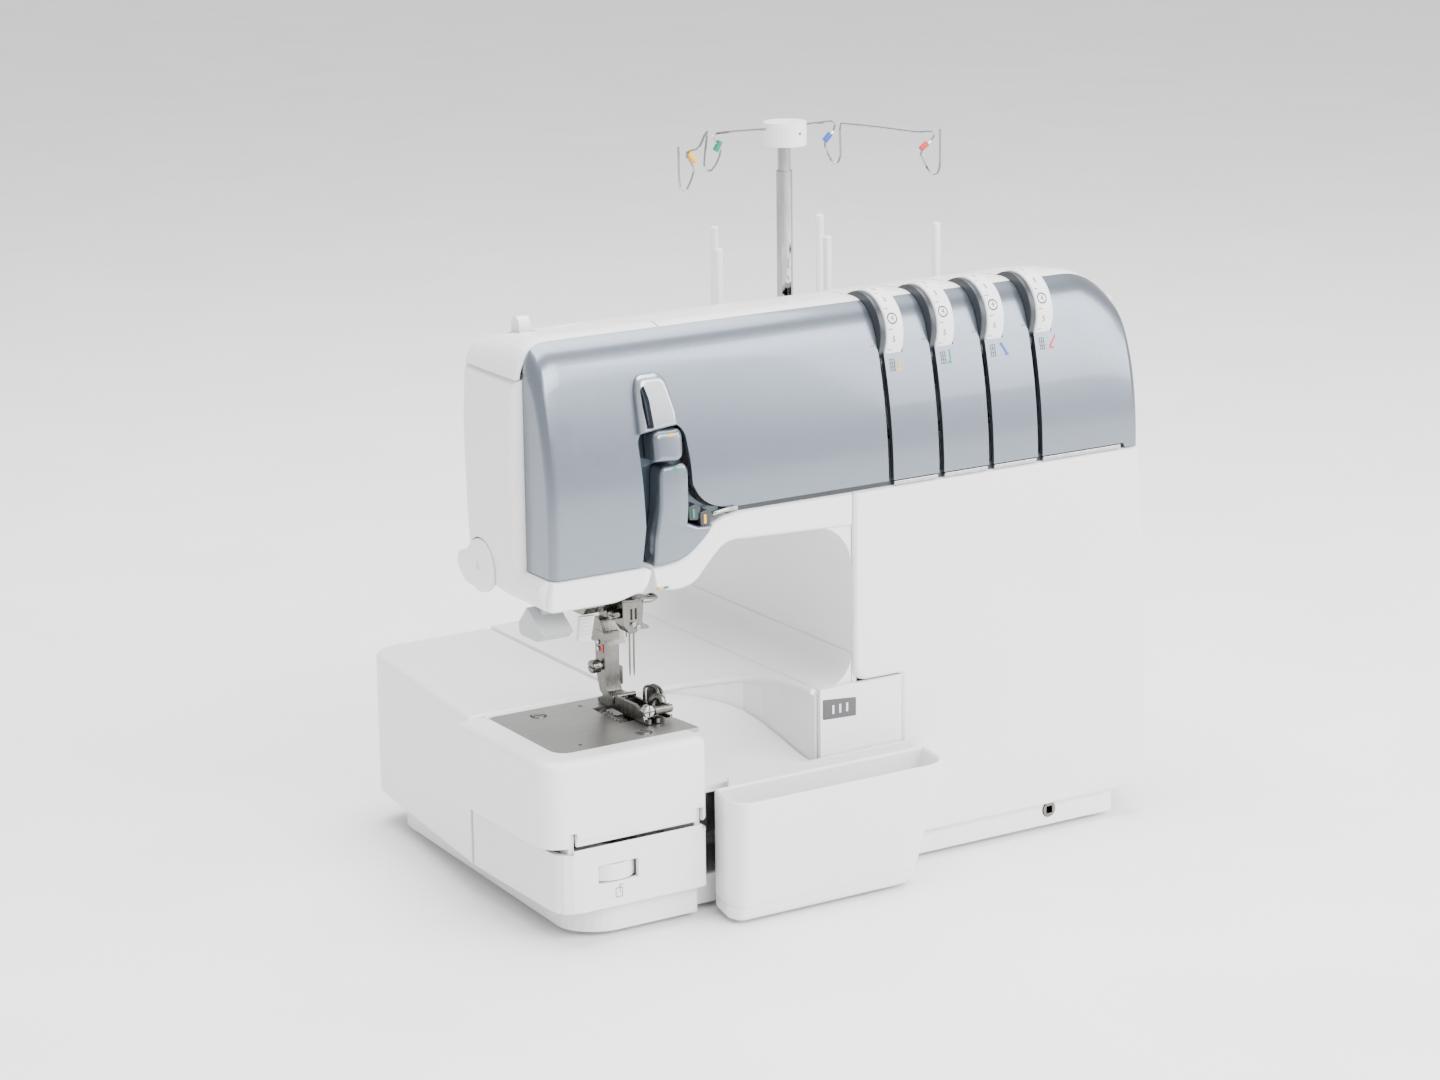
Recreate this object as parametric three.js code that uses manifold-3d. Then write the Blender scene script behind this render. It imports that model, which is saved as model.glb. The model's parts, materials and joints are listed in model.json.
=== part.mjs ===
// Home serger (overlock) sewing machine as an assembly of separate pieces.
// Units are millimetres. X runs along the arm to the handwheel side, Z is up.
// Sizes below are given in a working frame whose y = 0 is the flat front of the tower;
// the exported group is shifted so that its origin is the bottom centre of the whole object.
import * as THREE from 'three';
import { mergeVertices } from 'three/addons/utils/BufferGeometryUtils.js';
import Module from 'manifold-3d';

const wasm = await Module();
wasm.setup();

// ---------- driving dimensions ----------
const WALL = 2.5;                 // moulded wall thickness
const GAP = 0.3;                  // clearance between neighbouring pieces
const BLOCK_LEFT = -182.6;        // left side of the looper cover
const WHEEL_FACE = 186.4;         // outer face of the handwheel
const BIN_FRONT = -31;            // front lip of the waste bin
const TABLE_BACK = 213;           // back edge of the extension table
const CENTRE = [(BLOCK_LEFT + WHEEL_FACE) / 2, (BIN_FRONT + TABLE_BACK) / 2];

const FLOOR_GAP = 3;              // underside of the base pan
const BASE_TOP = 17;              // rim of the base pan
const BED = 91.3;                 // stitch plate and bed height
const BED_HIGH = 98.5;            // bed height beside the tower
const SILVER_BOTTOM = 195;        // lower edge of the metallic front panel
const CHIN_TOP = 175.4;           // lower edge of the metallic panel on the head
const HEAD_BOTTOM = 160;
const ARM_BACK = 77.5;
const TOWER_BACK = 194;
const LEFT = -170.7;              // front left edge of the head
const RIGHT = 166.3;              // right end of the arm
const TOWER_LEFT = -5.4;
const COVER_SEAM = 22;            // seam between lower front cover and tower panel
const BLOCK_RIGHT = -95.3;        // right side of the free arm block
const BLOCK_FRONT = -9.3;
const TABLE_SEAM = -91;           // right edge of the extension table

const NEEDLE = { x: -105.8, y: 43, tip: 109, clampLow: 131, clampHigh: 149, spacing: 2.3 };
const PRESSER = { x: -105.8, y: 66 };
const HANDWHEEL = { y: 60, z: 50, r: 32, from: 174.5 };
const MOTOR = { y: 125, z: 62, r: 28 };
const DIAL = { y: 26.5, z: 266.5, r: 20, width: 10, pitch: 29.6, firstSlot: 15.7 };
const MAST = { x: 10.4, y: 85, step: 337, cap: 349.7, top: 361, outerR: 4, innerR: 3.2 };
const ROCKER = { y: 52, z: 222 };
const COVER_HINGE = { y: -4, z: 53.5 };
const SPOOL_PINS = [[-21, 96], [42, 95], [109, 96], [11, 152], [75, 152]];
const TRAY = { z: 195.5, floor: 4, rim: 11, left: -60, right: 166, back: 198 };

// ---------- finishes ----------
const finish = (color, roughness, metalness) => ({ color, roughness, metalness });
const FINISH = {
  white: finish(0xf2f2f1, 0.35, 0),
  silver: finish(0x8f9eae, 0.3, 0.85),
  dark: finish(0x2f353b, 0.4, 0.1),
  steel: finish(0xb9b8b4, 0.3, 1),
  chrome: finish(0xd6d8da, 0.12, 1),
  casting: finish(0xa7abae, 0.6, 1),
  grey: finish(0xb4b8bb, 0.45, 0),
  rubber: finish(0x26282a, 0.9, 0),
  board: finish(0x2c6b46, 0.5, 0),
};

// ---------- solids ----------
function solid(geometry) {
  const bare = geometry.index ? geometry.toNonIndexed() : geometry.clone();
  bare.deleteAttribute('normal');
  bare.deleteAttribute('uv');
  const merged = mergeVertices(bare, 1e-4);
  const vertProperties = new Float32Array(merged.attributes.position.array);
  const triVerts = new Uint32Array(merged.index.array);
  return new wasm.Manifold(new wasm.Mesh({ numProp: 3, vertProperties, triVerts }));
}

function geometryOf(manifold) {
  const { vertProperties, triVerts } = manifold.getMesh();
  const geometry = new THREE.BufferGeometry();
  geometry.setAttribute('position', new THREE.BufferAttribute(new Float32Array(vertProperties), 3));
  geometry.setIndex(new THREE.BufferAttribute(new Uint32Array(triVerts), 1));
  geometry.computeVertexNormals();
  return geometry;
}

const union = (...pieces) => pieces.reduce((a, b) => a.add(b));
const cut = (body, ...tools) => tools.reduce((a, b) => a.subtract(b), body);

function box(x0, x1, y0, y1, z0, z1) {
  const geometry = new THREE.BoxGeometry(x1 - x0, y1 - y0, z1 - z0);
  geometry.translate((x0 + x1) / 2, (y0 + y1) / 2, (z0 + z1) / 2);
  return solid(geometry);
}

// Corners are [a, b] or [a, b, radius]; rounded corners become short runs of points.
function rounded(corners, steps = 4) {
  const points = [];
  corners.forEach(([a, b, r = 0], i) => {
    const here = new THREE.Vector2(a, b);
    if (r < 0.05) return points.push(here);
    const before = new THREE.Vector2(...corners.at(i - 1).slice(0, 2)).sub(here);
    const after = new THREE.Vector2(...corners[(i + 1) % corners.length].slice(0, 2)).sub(here);
    const reach = Math.min(r, 0.49 * before.length(), 0.49 * after.length());
    const start = here.clone().add(before.setLength(reach));
    const end = here.clone().add(after.setLength(reach));
    points.push(...new THREE.QuadraticBezierCurve(start, here, end).getPoints(steps));
    return points;
  });
  return points;
}

// The same corners moved inwards by a distance, radii reduced to match.
function inset(corners, distance) {
  const area = corners.reduce((sum, [a, b], i) => {
    const [c, d] = corners[(i + 1) % corners.length];
    return sum + a * d - c * b;
  }, 0);
  const side = Math.sign(area) * distance;
  return corners.map(([a, b, r = 0], i) => {
    const [pa, pb] = corners.at(i - 1);
    const [na, nb] = corners[(i + 1) % corners.length];
    const u = new THREE.Vector2(a - pa, b - pb).normalize();
    const v = new THREE.Vector2(na - a, nb - b).normalize();
    const bisector = 1 + u.dot(v);
    const shift = new THREE.Vector2(-u.y - v.y, u.x + v.x).multiplyScalar(side / bisector);
    return [a + shift.x, b + shift.y, Math.max(r - distance, 0)];
  });
}

const AXES = {
  x: new THREE.Matrix4().makeBasis(
    new THREE.Vector3(0, 1, 0), new THREE.Vector3(0, 0, 1), new THREE.Vector3(1, 0, 0)),
  y: new THREE.Matrix4().makeBasis(
    new THREE.Vector3(1, 0, 0), new THREE.Vector3(0, 0, 1), new THREE.Vector3(0, -1, 0)),
  z: new THREE.Matrix4(),
};

// An outline pushed along an axis: outlines are (y, z) for x, (x, z) for y and (x, y) for z.
function slab(axis, corners, from, to, steps = 4) {
  const shape = new THREE.Shape(rounded(corners, steps));
  const geometry = new THREE.ExtrudeGeometry(shape, { depth: to - from, bevelEnabled: false });
  geometry.translate(0, 0, axis === 'y' ? -to : from);
  geometry.applyMatrix4(AXES[axis]);
  return solid(geometry);
}

function rod(axis, a, b, radius, from, to, sides = 16) {
  const geometry = new THREE.CylinderGeometry(radius, radius, to - from, sides);
  geometry.translate(0, (from + to) / 2, 0);
  if (axis === 'x') geometry.rotateZ(-Math.PI / 2).translate(0, a, b);
  if (axis === 'y') geometry.translate(a, 0, b);
  if (axis === 'z') geometry.rotateX(Math.PI / 2).translate(a, b, 0);
  return solid(geometry);
}

const tube = (axis, a, b, outer, inner, from, to, sides = 16) => cut(
  rod(axis, a, b, outer, from, to, sides), rod(axis, a, b, inner, from - 1, to + 1, sides));

// A round wire through points, with smooth bends.
function wire(points, radius, steps, sides = 8, tension = 0.5) {
  const path = new THREE.CatmullRomCurve3(
    points.map((p) => new THREE.Vector3(...p)), false, 'catmullrom', tension);
  const section = new THREE.Shape();
  for (let i = 0; i < sides; i += 1) {
    const t = (2 * Math.PI * i) / sides;
    const corner = [radius * Math.cos(t), radius * Math.sin(t)];
    if (i === 0) section.moveTo(...corner);
    else section.lineTo(...corner);
  }
  section.closePath();
  return solid(new THREE.ExtrudeGeometry(section, { steps, bevelEnabled: false, extrudePath: path }));
}

// A flat-sided hollow box: outline walls with one closed end.
function tray(axis, corners, from, to, wall, closedEnd) {
  const outer = slab(axis, corners, from, to);
  const lo = closedEnd === 'low' ? from + wall : from - 1;
  const hi = closedEnd === 'high' ? to - wall : to + 1;
  return outer.subtract(slab(axis, inset(corners, wall), lo, hi));
}

// ---------- scene graph ----------
const machine = new THREE.Group();
machine.position.set(-CENTRE[0], -CENTRE[1], 0);

function piece(parent, name, manifold, look, position) {
  const { color, roughness, metalness } = FINISH[look];
  const material = new THREE.MeshStandardMaterial({ color, roughness, metalness });
  const mesh = new THREE.Mesh(geometryOf(manifold), material);
  mesh.name = name;
  if (position) mesh.position.set(...position);
  parent.add(mesh);
  return mesh;
}

function group(name) {
  const made = new THREE.Group();
  made.name = name;
  machine.add(made);
  return made;
}

// ---------- base ----------
const BASE_OUTLINE = [
  [-164, 8, 12], [-150, -3.7, 8], [-98.7, -3.7], [-98.7, 4.2], [157.6, 4.2, 5],
  [157.6, 195, 16], [-157, 195, 16],
];
const FEET = { front_left: [-136, 16], front_right: [138, 24], back_right: [138, 176],
  back_left: [-138, 176] };
const KNEE_SOCKET = { x: 115.5, z: 11 };

function basePan() {
  const pan = tray('z', BASE_OUTLINE, FLOOR_GAP, BASE_TOP, WALL, 'low');
  const stems = Object.values(FEET).map(([x, y]) => rod('z', x, y, 4.4, 0, 10, 16));
  const socketHole = rod('y', KNEE_SOCKET.x, KNEE_SOCKET.z, 4.2, 0, 10, 16);
  const socketWell = box(KNEE_SOCKET.x - 6, KNEE_SOCKET.x + 6, 6.6, 30, 5.6, 16);
  return cut(pan, ...stems, socketHole, socketWell);
}

function foot() {
  return union(rod('z', 0, 0, 12.5, 0, FLOOR_GAP - GAP, 24), rod('z', 0, 0, 4, 0, 8, 16));
}

function kneeLiftSocket() {
  const { x, z } = KNEE_SOCKET;
  const body = rod('y', x, z, 3.8, 3.6, 34, 16);
  const crank = box(x - 2.4, x + 2.4, 28, 34, z, z + 16);
  return cut(union(body, crank), box(x - 1.9, x + 1.9, 0, 20, z - 1.9, z + 1.9));
}

function makeBase() {
  const base = group('base');
  piece(base, 'base_pan', basePan(), 'white');
  Object.entries(FEET).forEach(([place, [x, y]]) => piece(base, `${place}_foot`, foot(), 'rubber',
    [x, y, 0]));
  piece(base, 'knee_lift_socket', kneeLiftSocket(), 'steel');
}

// ---------- free arm block, covers and bed ----------
const BLOCK_OUTLINE = [
  [-175, BLOCK_FRONT, 12], [BLOCK_RIGHT, BLOCK_FRONT, 4], [BLOCK_RIGHT, 77.5], [-175, 77.5],
];
const LOWER_BLOCK_TOP = 46;
const HINGE_POSTS = [-168, -100];
const WIDTH_DIAL = { x: -144.5, y: 6, r: 15.3, low: 30, high: 38 };

function freeArmCasing() {
  const lower = tray('z', BLOCK_OUTLINE, BASE_TOP + GAP, LOWER_BLOCK_TOP, WALL, 'none');
  const back = union(
    box(-175, BLOCK_RIGHT, 77.5 - WALL, 77.5, 40, BED - 4),
    box(-168, BLOCK_RIGHT, 77.5 - WALL, 77.5, BED - 5, BED),
    box(-168, BLOCK_RIGHT, 73.4, 77.5, BED - 4, BED));
  const shelf = box(-175 + 1, BLOCK_RIGHT - 1, 20, 76, 40, 43);
  const window = box(-155.3, -133.7, BLOCK_FRONT - 1, BLOCK_FRONT + WALL + 1, 29.4, 38.6);
  const shaftPassage = box(BLOCK_RIGHT - 5, BLOCK_RIGHT + 1, 28, 72, 0, 60);
  const posts = HINGE_POSTS.flatMap((x) => [
    box(x - 1.4, x + 1.4, BLOCK_FRONT + WALL - 0.5, 1, 36, LOWER_BLOCK_TOP - 0.2),
    box(x - 1.4, x + 1.4, BLOCK_FRONT + WALL + 0.4, 1, LOWER_BLOCK_TOP - 2, 56)]);
  const hingePin = rod('x', COVER_HINGE.y, COVER_HINGE.z, 1.5, -173, -97, 12);
  return union(cut(union(lower, back, shelf, ...posts), window, shaftPassage), hingePin);
}

const HOOD_OUTLINE = [[BLOCK_LEFT, BLOCK_FRONT, 14], [BLOCK_RIGHT, BLOCK_FRONT, 5], [BLOCK_RIGHT,
  77.2], [BLOCK_LEFT, 77.2]];
const HOOD_LOW = 49.5;

function looperCover() {
  const outer = slab('z', HOOD_OUTLINE, HOOD_LOW, BED);
  const inner = slab('z', inset(HOOD_OUTLINE, WALL), HOOD_LOW - 1, BED - WALL);
  const openRight = box(BLOCK_RIGHT - WALL - 1, 0, BLOCK_FRONT + WALL, 90, HOOD_LOW - 1, BED - WALL);
  const plateWell = box(-168.3, 0, 3.7, 90, 0, 100);
  const openBack = box(-180.1, 0, 70, 90, HOOD_LOW - 1, BED - WALL);
  const knuckles = [-158, -112].map((x) => union(
    rod('x', COVER_HINGE.y, COVER_HINGE.z, 3.4, x - 5, x + 5, 14),
    box(x - 5, x + 5, BLOCK_FRONT + 1, COVER_HINGE.y, COVER_HINGE.z - 1.4, COVER_HINGE.z + 1.4)));
  const postSlots = HINGE_POSTS.map((x) => box(x - 2, x + 2, -12, 4, HOOD_LOW - 1, 61));
  return cut(union(cut(outer, inner, openRight, plateWell, openBack), ...knuckles), ...postSlots,
    rod('x', COVER_HINGE.y, COVER_HINGE.z, 1.9, -180, -90, 12));
}

const PLATE_OUTLINE = [
  [-168, 4, 9], [-91, 4, 2], [-93, 24], [-96.8, 26], [-96.8, 54], [-91, 56], [-91, 73.1, 3], [-168,
    73.1, 5],
];
const PLATE_SCREWS = { left: [-146.2, 62], right: [-117.1, 12] };
const FEED_ROWS = [-116, -100.5];

function stitchPlate() {
  const plate = slab('z', PLATE_OUTLINE, BED - 2, BED);
  const screwHoles = Object.values(PLATE_SCREWS).map(([x, y]) => rod('z', x, y, 3.8, 80, 95, 16));
  const feedSlots = FEED_ROWS.map((x) => box(x - 2.4, x + 2.4, 27, 61, 80, 95));
  const needleSlot = box(NEEDLE.x - 3.2, NEEDLE.x + 3.2, NEEDLE.y - 4, NEEDLE.y + 4, 80, 95);
  const pinHoles = [[-125, 66], [-151.6, 12.2]].map(([x, y]) => rod('z', x, y, 1.2, 80, 95, 10));
  return cut(plate, ...screwHoles, ...feedSlots, needleSlot, ...pinHoles);
}

const TABLE_OUTLINE = [[-176, 78], [TABLE_SEAM - GAP, 78], [TABLE_SEAM - GAP, TABLE_BACK, 4],
  [-162, TABLE_BACK, 16]];

function extensionTable() {
  const shell = tray('z', TABLE_OUTLINE, BASE_TOP + GAP, BED, WALL, 'high');
  const openRight = box(TABLE_SEAM - WALL - 1, 0, 78 + WALL, TABLE_BACK - WALL - 4, 0, BED - WALL);
  const rails = [100, 180].map((y) => box(-150, TABLE_SEAM - 4, y, y + 4, 76, BED - 1));
  return union(cut(shell, openRight), ...rails);
}

// Edge of the bed where it curves round the trimmings chute.
const CHUTE_EDGE = [
  [-90, 70], [-75, 66.5], [-65, 64.2], [-56, 60.5], [-46.5, 54.8], [-39, 48.6], [-34, 38.5],
  [-31, 27.5], [-29, 15], [-27, 3],
];
const BED_OUTLINE = [
  ...CHUTE_EDGE, [TOWER_LEFT - GAP, 3], [TOWER_LEFT - GAP, TABLE_BACK, 12], [TABLE_SEAM, TABLE_BACK],
  [TABLE_SEAM, 78],
];
const BED_PROFILE = [
  [TABLE_SEAM - 1, BASE_TOP + GAP], [0, BASE_TOP + GAP], [0, BED_HIGH], [-24, BED_HIGH - 1.2],
    [-48, BED + 2.2],
  [-68, BED + 0.2], [TABLE_SEAM - 1, BED],
];

const CHASSIS_PASSAGE = box(-12, -1, 28, 122, 0, 66);

function bedCasing() {
  const outer = slab('z', BED_OUTLINE, BASE_TOP + GAP, 110).intersect(slab('y', BED_PROFILE, 0, 220));
  const innerProfile = BED_PROFILE.map(([x, z]) => [x, z < 20 ? 0 : z - WALL]);
  const inner = slab('z', inset(BED_OUTLINE, WALL), 0, 110).intersect(slab('y', innerProfile, 0, 220));
  const chuteDoor = box(-92, -20, 0, 69, 0, 60);
  const sideDoor = box(TABLE_SEAM - 2, TABLE_SEAM + WALL + 1, 90, 200, 0, 70);
  return cut(outer, inner, chuteDoor, sideDoor, CHASSIS_PASSAGE);
}

const CHUTE_PROFILE = [
  [3.2, 62], [14, 65], [30, 71], [45, 78], [58, 85], [68, BED - 1], [68, BED - 5], [58, 81.6],
  [45, 74.6], [30, 67.6], [14, 61.6], [3.2, 58.6],
];

function trimChute() {
  const edge = BED_OUTLINE.slice(1, CHUTE_EDGE.length).map(([x, y]) => [x - 0.6, y - 0.6]);
  const plan = [...edge, [-90.6, 3.2], [-90.6, 62]];
  return slab('z', plan, 50, 100).intersect(slab('x', CHUTE_PROFILE, -95, -20));
}

function lowerFrontCover() {
  const front = box(-25.6, COVER_SEAM - GAP, 0, WALL, BASE_TOP + GAP, BED_HIGH + 0.9);
  const ribs = [-10, 8].map((x) => box(x, x + 2, WALL - 0.2, 14, 30, 88));
  return cut(union(front, ...ribs), box(-26, TOWER_LEFT + 0.2, 2.6, 20, 0, 110));
}

const BIN_RIM = [[-92, -20, 16], [-88, BIN_FRONT, 12], [30, BIN_FRONT, 16], [34, -2], [-88, -2]];
const BIN_FOOT = [[-91.7, -20, 14], [-88, -27, 10], [14, -27, 14], [18, -2], [-88, -2]];

function wasteBin() {
  const low = 2.2;
  const high = 62;
  const layer = (inward) => (t) => inset(BIN_FOOT, inward).map(([x, y, r], i) => {
    const [u, v, s] = inset(BIN_RIM, inward)[i];
    return [x + (u - x) * t, y + (v - y) * t, r + (s - r) * t];
  });
  const outer = loft(layer(0), low, high, 5);
  const inner = loft(layer(2), low + 2, high + 0.01, 5);
  const restFoot = rod('z', -42, -15, 11, 0, low + 0.5, 24);
  const backWall = box(-80, 10, -3.4, -2, 40, 66);
  return union(cut(outer, inner), restFoot, backWall);
}

// Stacks one outline on another; the outline function takes 0 at the bottom and 1 at the top.
function loft(outlineAt, low, high, layers) {
  const rings = [];
  for (let i = 0; i <= layers; i += 1) {
    const t = i / layers;
    rings.push(rounded(outlineAt(t)).map((p) => [p.x, p.y, low + (high - low) * t]));
  }
  const count = rings[0].length;
  const positions = rings.flat(2);
  const index = [];
  for (let i = 0; i < layers; i += 1) {
    for (let j = 0; j < count; j += 1) {
      const a = i * count + j;
      const b = i * count + ((j + 1) % count);
      index.push(a, b, b + count, a, b + count, a + count);
    }
  }
  const capAt = (ring, flip) => {
    const contour = rings[ring].map(([x, y]) => new THREE.Vector2(x, y));
    THREE.ShapeUtils.triangulateShape(contour, []).forEach(([a, b, c]) => {
      const base = ring * count;
      index.push(...(flip ? [base + a, base + c, base + b] : [base + a, base + b, base + c]));
    });
  };
  capAt(0, true);
  capAt(layers, false);
  const geometry = new THREE.BufferGeometry();
  geometry.setAttribute('position', new THREE.BufferAttribute(new Float32Array(positions), 3));
  geometry.setIndex(index);
  return solid(geometry);
}

function makeBed() {
  const bed = group('bed');
  piece(bed, 'free_arm_casing', freeArmCasing(), 'white');
  piece(bed, 'looper_cover', looperCover(), 'white');
  piece(bed, 'stitch_plate', stitchPlate(), 'steel');
  piece(bed, 'extension_table', extensionTable(), 'white');
  piece(bed, 'bed_casing', bedCasing(), 'white');
  piece(bed, 'trim_chute', trimChute(), 'white');
  piece(bed, 'lower_front_cover', lowerFrontCover(), 'white');
  piece(bed, 'waste_bin', wasteBin(), 'white');
  const dial = cut(rod('z', 0, 0, WIDTH_DIAL.r, 0, WIDTH_DIAL.high - WIDTH_DIAL.low, 32), rod('z',
    0, 0, 3, -1, 20, 12));
  piece(bed, 'cutting_width_dial', dial, 'white', [WIDTH_DIAL.x, WIDTH_DIAL.y, WIDTH_DIAL.low]);
}

// ---------- tower and arm shells ----------
const PANEL_OUTLINE = [
  [COVER_SEAM, 15], [174.7, 15, 8], [173, 100], [RIGHT + 0.5, SILVER_BOTTOM - GAP],
  [TOWER_LEFT, SILVER_BOTTOM - GAP], [TOWER_LEFT, BED_HIGH + 1.3, 6], [COVER_SEAM, BED_HIGH + 1.3],
];
const ARM_SECTION = [
  [0.6, 172], [0, SILVER_BOTTOM], [3, 230], [9.5, 262], [14, 273], [20, 280.4], [30, 282.6], [70, 278],
  [ARM_BACK, 276, 4], [ARM_BACK, 172],
];
const SLOTS = [0, 1, 2, 3].map((i) => DIAL.firstSlot + DIAL.pitch * i);
const TOP_SEAM = 24.5;
const CHANNEL_WINDOW = [[-121.6, 177.5], [-97, 177.5], [-94.5, 262, 9], [-120.5, 262, 9]];
const HEAD_LOBE = [[-112, CHIN_TOP], [-97.7, 179], [-89.4, 185.4], [-80, 192], [-68,
  SILVER_BOTTOM + 0.4]];

const dialWindow = (x, y0, y1, z0) => box(x - 1.5, x + 12.5, y0, y1, z0, 290);

function towerFrontPanel() {
  const face = slab('y', PANEL_OUTLINE, 0, WALL);
  const flange = slab('y', PANEL_OUTLINE, 0, 20)
    .subtract(slab('y', inset(PANEL_OUTLINE, WALL), -1, 21))
    .intersect(box(60, 180, 0, 20, 20.3, SILVER_BOTTOM - GAP));
  return union(face, flange);
}

function armSkin(from, to, wall) {
  const outer = slab('x', ARM_SECTION, from, to);
  const inner = slab('x', inset(ARM_SECTION, wall), from + wall, to - wall);
  return outer.subtract(inner);
}

function armFrontPanel() {
  const outline = [
    [LEFT, CHIN_TOP], ...HEAD_LOBE, [RIGHT, SILVER_BOTTOM], [RIGHT, 300], [LEFT, 300],
  ];
  const softEnds = [
    [LEFT, 150], [RIGHT + 0.4, 150], [RIGHT, 262], [160, 277], [146, 290], [-158, 290], [LEFT + 3.5, 274],
  ];
  const skin = armSkin(LEFT, RIGHT, WALL).intersect(slab('y', outline, -5, TOP_SEAM))
    .intersect(slab('y', softEnds, -5, 60));
  const threadSlots = SLOTS.map((x) => box(x - 1.5, x + 1.5, -5, 40, 203, 290));
  const windows = SLOTS.map((x) => dialWindow(x, -5, 40, 254));
  return cut(skin, slab('y', CHANNEL_WINDOW, -5, 40), ...threadSlots, ...windows);
}

function topCover() {
  const low = 267.5;
  const softEnds = [[LEFT - 3, low], [RIGHT, low], [160, 277], [146, 290], [-160, 290], [LEFT - 3, 274]];
  const skin = armSkin(LEFT - 3, RIGHT, WALL)
    .intersect(slab('y', softEnds, TOP_SEAM + GAP, 90));
  const windows = SLOTS.map((x) => dialWindow(x, 0, 44, 250));
  const leverWindow = box(-158, -149, 50, 62, 260, 290);
  const mastNotch = box(MAST.x - 14, MAST.x + 14, 71, 90, 274.5, 290);
  return cut(skin, ...windows, leverWindow, mastNotch);
}

const TOWER_PLAN = [
  [TOWER_LEFT, WALL + GAP], [171.5, WALL + GAP], [169, TOWER_BACK, 14], [TOWER_LEFT, TOWER_BACK, 10],
];
const SIDE_HOLES = [
  [HANDWHEEL.y, HANDWHEEL.z, 9], [52, 122, 7], [52, 160, 7],
];
const SOCKET_PANEL = { y0: 122, y1: 152, z0: 34, z1: 110 };

function rearCasing() {
  const outer = slab('z', TOWER_PLAN, BASE_TOP + GAP, 195);
  const inner = slab('z', inset(TOWER_PLAN, WALL), 0, 195 - WALL);
  const frontOpening = box(TOWER_LEFT + WALL, 169, 0, 20, 0, 195 - WALL);
  const flangeRoom = box(60, 180, 0, 20.6, 0, 200);
  const underArm = box(-20, 180, 0, ARM_BACK - WALL, 180, 200);
  const armBack = box(LEFT + 3, RIGHT, ARM_BACK - WALL, ARM_BACK, 176, 267);
  const endWall = box(RIGHT - WALL, RIGHT, TOP_SEAM + GAP, ARM_BACK, 190, 267);
  const mastHole = rod('z', MAST.x, MAST.y, 7.2, 180, 200, 20);
  const sideHoles = SIDE_HOLES.map(([y, z, r]) => rod('x', y, z, r, 160, 180, 20));
  const sockets = box(160, 180, SOCKET_PANEL.y0, SOCKET_PANEL.y1, SOCKET_PANEL.z0, SOCKET_PANEL.z1);
  const tower = cut(outer, inner, frontOpening, flangeRoom, underArm, CHASSIS_PASSAGE);
  return cut(union(tower, armBack, endWall), mastHole, ...sideHoles, sockets);
}

function armLowerCover() {
  const section = [[1, 194.6], [1.6, 187], [5, 181, 2], [13, 177.3, 4], [70, 177.3, 3], [74.6,
    182], [74.6, 194.6]];
  const belly = tray('x', section, -70, TOWER_LEFT - GAP, WALL, 'none')
    .subtract(box(-80, 0, 4, 72, 188, 200));
  const cheekOutline = [
    [-94, HEAD_BOTTOM + 4, 6], [-86, 165, 4], [-66, 178], [-66, 194.4], [-80, 191.2], [-89.4,
      184.8], [-97.2, 178.2],
    [-96, HEAD_BOTTOM + 4],
  ];
  const cheek = slab('y', cheekOutline, 0.8, 4);
  const side = slab('y', [[-94.4, 162.4], [-86, 164], [-67, 178], [-67, 184], [-69.6, 182.5], [-87,
    167], [-94.4, 165.4]], 1, 74.6);
  return union(belly, cheek, side, headChin());
}

const END_OUTLINE = [
  [3, HEAD_BOTTOM], [46, HEAD_BOTTOM], [66, 164, 6], [74.5, 176, 4], [76.5, 240], [76.5, 267],
    [TOP_SEAM + GAP, 267],
  [TOP_SEAM + GAP, CHIN_TOP - GAP], [3, CHIN_TOP - GAP],
];
const LIFTER = { y: 60, z: 171, r: 13 };

function headEndCover() {
  const side = slab('x', END_OUTLINE, -175.6, LEFT - 0.7);
  const bulge = box(-180, -174.2, 0, 90, 150, 176).add(box(-180, -174.2, 0, 90, 250, 270));
  const rim = tray('x', END_OUTLINE, LEFT - 1, -160, WALL, 'none')
    .intersect(box(-180, -160, 28, 74.4, 150, 262));
  const lifterSeat = rod('x', LIFTER.y, LIFTER.z, LIFTER.r + 0.5, -180, -173.2, 24);
  return cut(union(side, rim), bulge, lifterSeat, rod('x', LIFTER.y, LIFTER.z, 3.4, -190, -150, 16));
}

function headChin() {
  const low = HEAD_BOTTOM;
  const high = CHIN_TOP - GAP;
  const face = [[LEFT, low], [-137, low], [-120, 167, 4], [-90, 167], [-90, 178], [-96.6, high],
    [LEFT, high]];
  const front = slab('y', face, 0.8, 0.8 + WALL);
  const under = cut(box(LEFT, -137, 0.8, 26, low, low + WALL), box(-167, -159, 19, 30, 0, 200));
  const left = box(LEFT, LEFT + WALL, 0.8, 26, low, high);
  return union(front, under, left);
}

function liftLever() {
  const hub = rod('x', LIFTER.y, LIFTER.z, LIFTER.r, -177.6, -173.5, 28);
  const tail = slab('x', [[55, 160.5], [88, 158], [94, 162, 3], [92, 168, 3], [66, 178]], -177.6, -175.9);
  return union(hub, tail, rod('x', LIFTER.y, LIFTER.z, 3, -174, -128, 16), rod('x', LIFTER.y,
    LIFTER.z, 5.5, -134, -128, 16));
}

function threadChannel() {
  const plan = [[-121, 9], [-121, 13], [-95, 13], [-95, 11.5], [-111, 11.5], [-112.5, 9]];
  return slab('z', plan, 178, 240, 1).add(slab('z', [[-121, 11.5], [-95, 11.5], [-95, 14.5], [-121,
    14.5]], 200, 250, 1));
}

function guideBlock(low, high, shift) {
  const outline = [[-112.6, low + 4, 3], [-97.6 - shift, low, 3], [-97, high, 3], [-112.6, high - 1, 3]];
  return slab('y', outline, 2.6, 8.4);
}

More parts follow.
